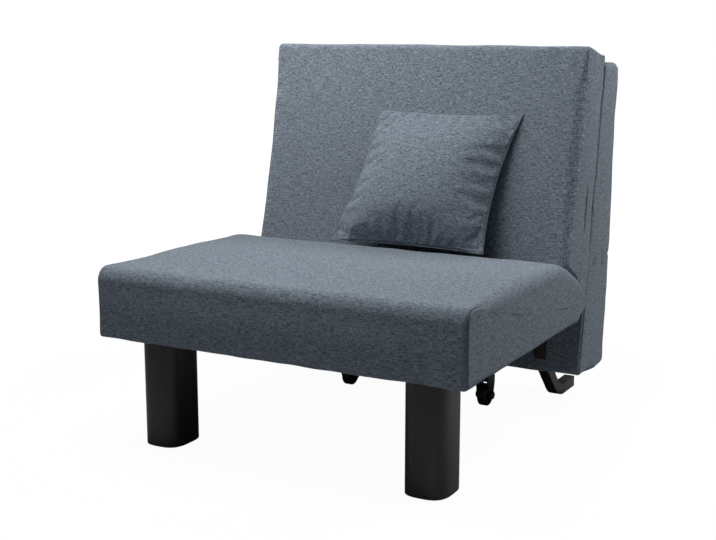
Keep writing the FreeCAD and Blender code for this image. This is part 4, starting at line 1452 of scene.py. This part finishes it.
@dataclass
class Studio:
    """Pale floor and background, soft lamps and the camera."""

    camera_place: tuple[float, float, float] = (1.2734, -2.4089, 0.8770)
    camera_pitch: float = 0.1953
    camera_turn: float = 0.503
    lens: float = 62.85
    sensor_width: float = 36.0
    floor_half: float = 9.0
    floor_drop: float = 0.5 * MM
    fill_light: float = 0.13

    def build(self) -> None:
        """Sets up everything around the chair."""
        self.floor()
        self.world()
        self.camera()
        Lamp("key_lamp", (-0.32, -0.34, 1.65), (-0.05, 0.0, 0.35), (1.2, 0.8), 23.0).build()
        Lamp("side_lamp", (1.20, 1.00, 1.75), (0.4, 0.2, 0.5), (0.7, 0.7), 27.0).build()

    def floor(self) -> None:
        """A round pale floor, just under the feet, that keeps a faint shadow."""
        radius = np.linspace(0.0, self.floor_half, 12)[1:]
        angle = np.arange(48) * 2.0 * math.pi / 48
        x = radius[:, None] * np.cos(angle)
        y = radius[:, None] * np.sin(angle)
        points = np.stack([x, y, np.full(x.shape, -self.floor_drop)], axis=-1).reshape(-1, 3)
        faces = grid_faces(len(radius), len(angle), True)[:, ::-1].tolist()
        faces.append(list(range(len(angle))))
        mesh = bpy.data.meshes.new("floor")
        mesh.from_pydata(points.tolist(), [], faces)
        floor = bpy.data.objects.new("floor", mesh)
        bpy.context.scene.collection.objects.link(floor)
        graph = Graph("floor_pale")
        graph.dress(Base_Color=(0.5, 0.5, 0.5, 1.0), Roughness=0.9, Specular_IOR_Level=0.1)
        place = graph.node("TexCoord", {}, "Object")
        distance = graph.node("VectorMath", {0: place}, "Value", operation="LENGTH")
        glow = graph.node("Emission", {"Color": (1.0, 1.0, 1.0, 1.0), "Strength": 1.05})
        seen = graph.node("LightPath", {}, "Is Camera Ray")
        through = graph.node("LightPath", {}, "Is Transmission Ray")
        direct = graph.math("MAXIMUM", seen, through)
        weight = graph.math("MULTIPLY", direct, graph.levels(distance, 0.9, 2.2, 0.92, 1.0))
        mixed = graph.node("MixShader", {0: weight, 1: graph.shader.outputs[0], 2: glow})
        output = next(n for n in graph.tree.nodes if n.type == "OUTPUT_MATERIAL")
        graph.feed(output.inputs["Surface"], mixed)
        mesh.materials.append(graph.material)

    def world(self) -> None:
        """White where it is seen, and a soft grey fill where it lights."""
        world = bpy.data.worlds.new("studio")
        bpy.context.scene.world = world
        world.use_nodes = True
        tree = world.node_tree
        tree.nodes.clear()
        path = tree.nodes.new("ShaderNodeLightPath")
        seen = tree.nodes.new("ShaderNodeMath")
        seen.operation = "MAXIMUM"
        tree.links.new(path.outputs["Is Camera Ray"], seen.inputs[0])
        tree.links.new(path.outputs["Is Transmission Ray"], seen.inputs[1])
        fill = tree.nodes.new("ShaderNodeBackground")
        fill.inputs["Color"].default_value = (0.82, 0.91, 1.0, 1.0)
        fill.inputs["Strength"].default_value = self.fill_light
        white = tree.nodes.new("ShaderNodeBackground")
        white.inputs["Color"].default_value = (1.0, 1.0, 1.0, 1.0)
        mix = tree.nodes.new("ShaderNodeMixShader")
        tree.links.new(seen.outputs[0], mix.inputs[0])
        tree.links.new(fill.outputs[0], mix.inputs[1])
        tree.links.new(white.outputs[0], mix.inputs[2])
        output = tree.nodes.new("ShaderNodeOutputWorld")
        tree.links.new(mix.outputs[0], output.inputs["Surface"])

    def camera(self) -> None:
        """The camera at the photograph's viewing angle."""
        data = bpy.data.cameras.new("camera")
        data.lens = self.lens
        data.sensor_width = self.sensor_width
        data.clip_end = 60.0
        camera = bpy.data.objects.new("camera", data)
        camera.location = self.camera_place
        camera.rotation_euler = (math.pi / 2.0 - self.camera_pitch, 0.0, self.camera_turn)
        bpy.context.scene.collection.objects.link(camera)
        bpy.context.scene.camera = camera
        bpy.context.scene.view_settings.view_transform = "Standard"


def dress_nodes() -> None:
    """Gives every node of the frame the finish of its material slot."""
    slots = {part["node"]: part["material_slot"] for part in frame["record"]["subparts"]}
    for name, node in frame["nodes"].items():
        finish = NODE_FINISHES[slots[name]]
        node.data.materials.clear()
        node.data.materials.append(finish.material())
        LOG.info("%s: %s", name, finish.name)


def main() -> None:
    """Builds the studio and the chair's soft parts, and dresses the rest."""
    logging.basicConfig(level=logging.INFO, format="%(name)s: %(message)s")
    Studio().build()
    dress_nodes()
    seat = Seat.from_frame()
    back = BackRest.from_frame(seat)
    seat.build()
    back.build()
    RearPanel.from_frame().build()
    LooseCushion.from_frame(seat, back).build()


if __name__ == "__main__":
    main()
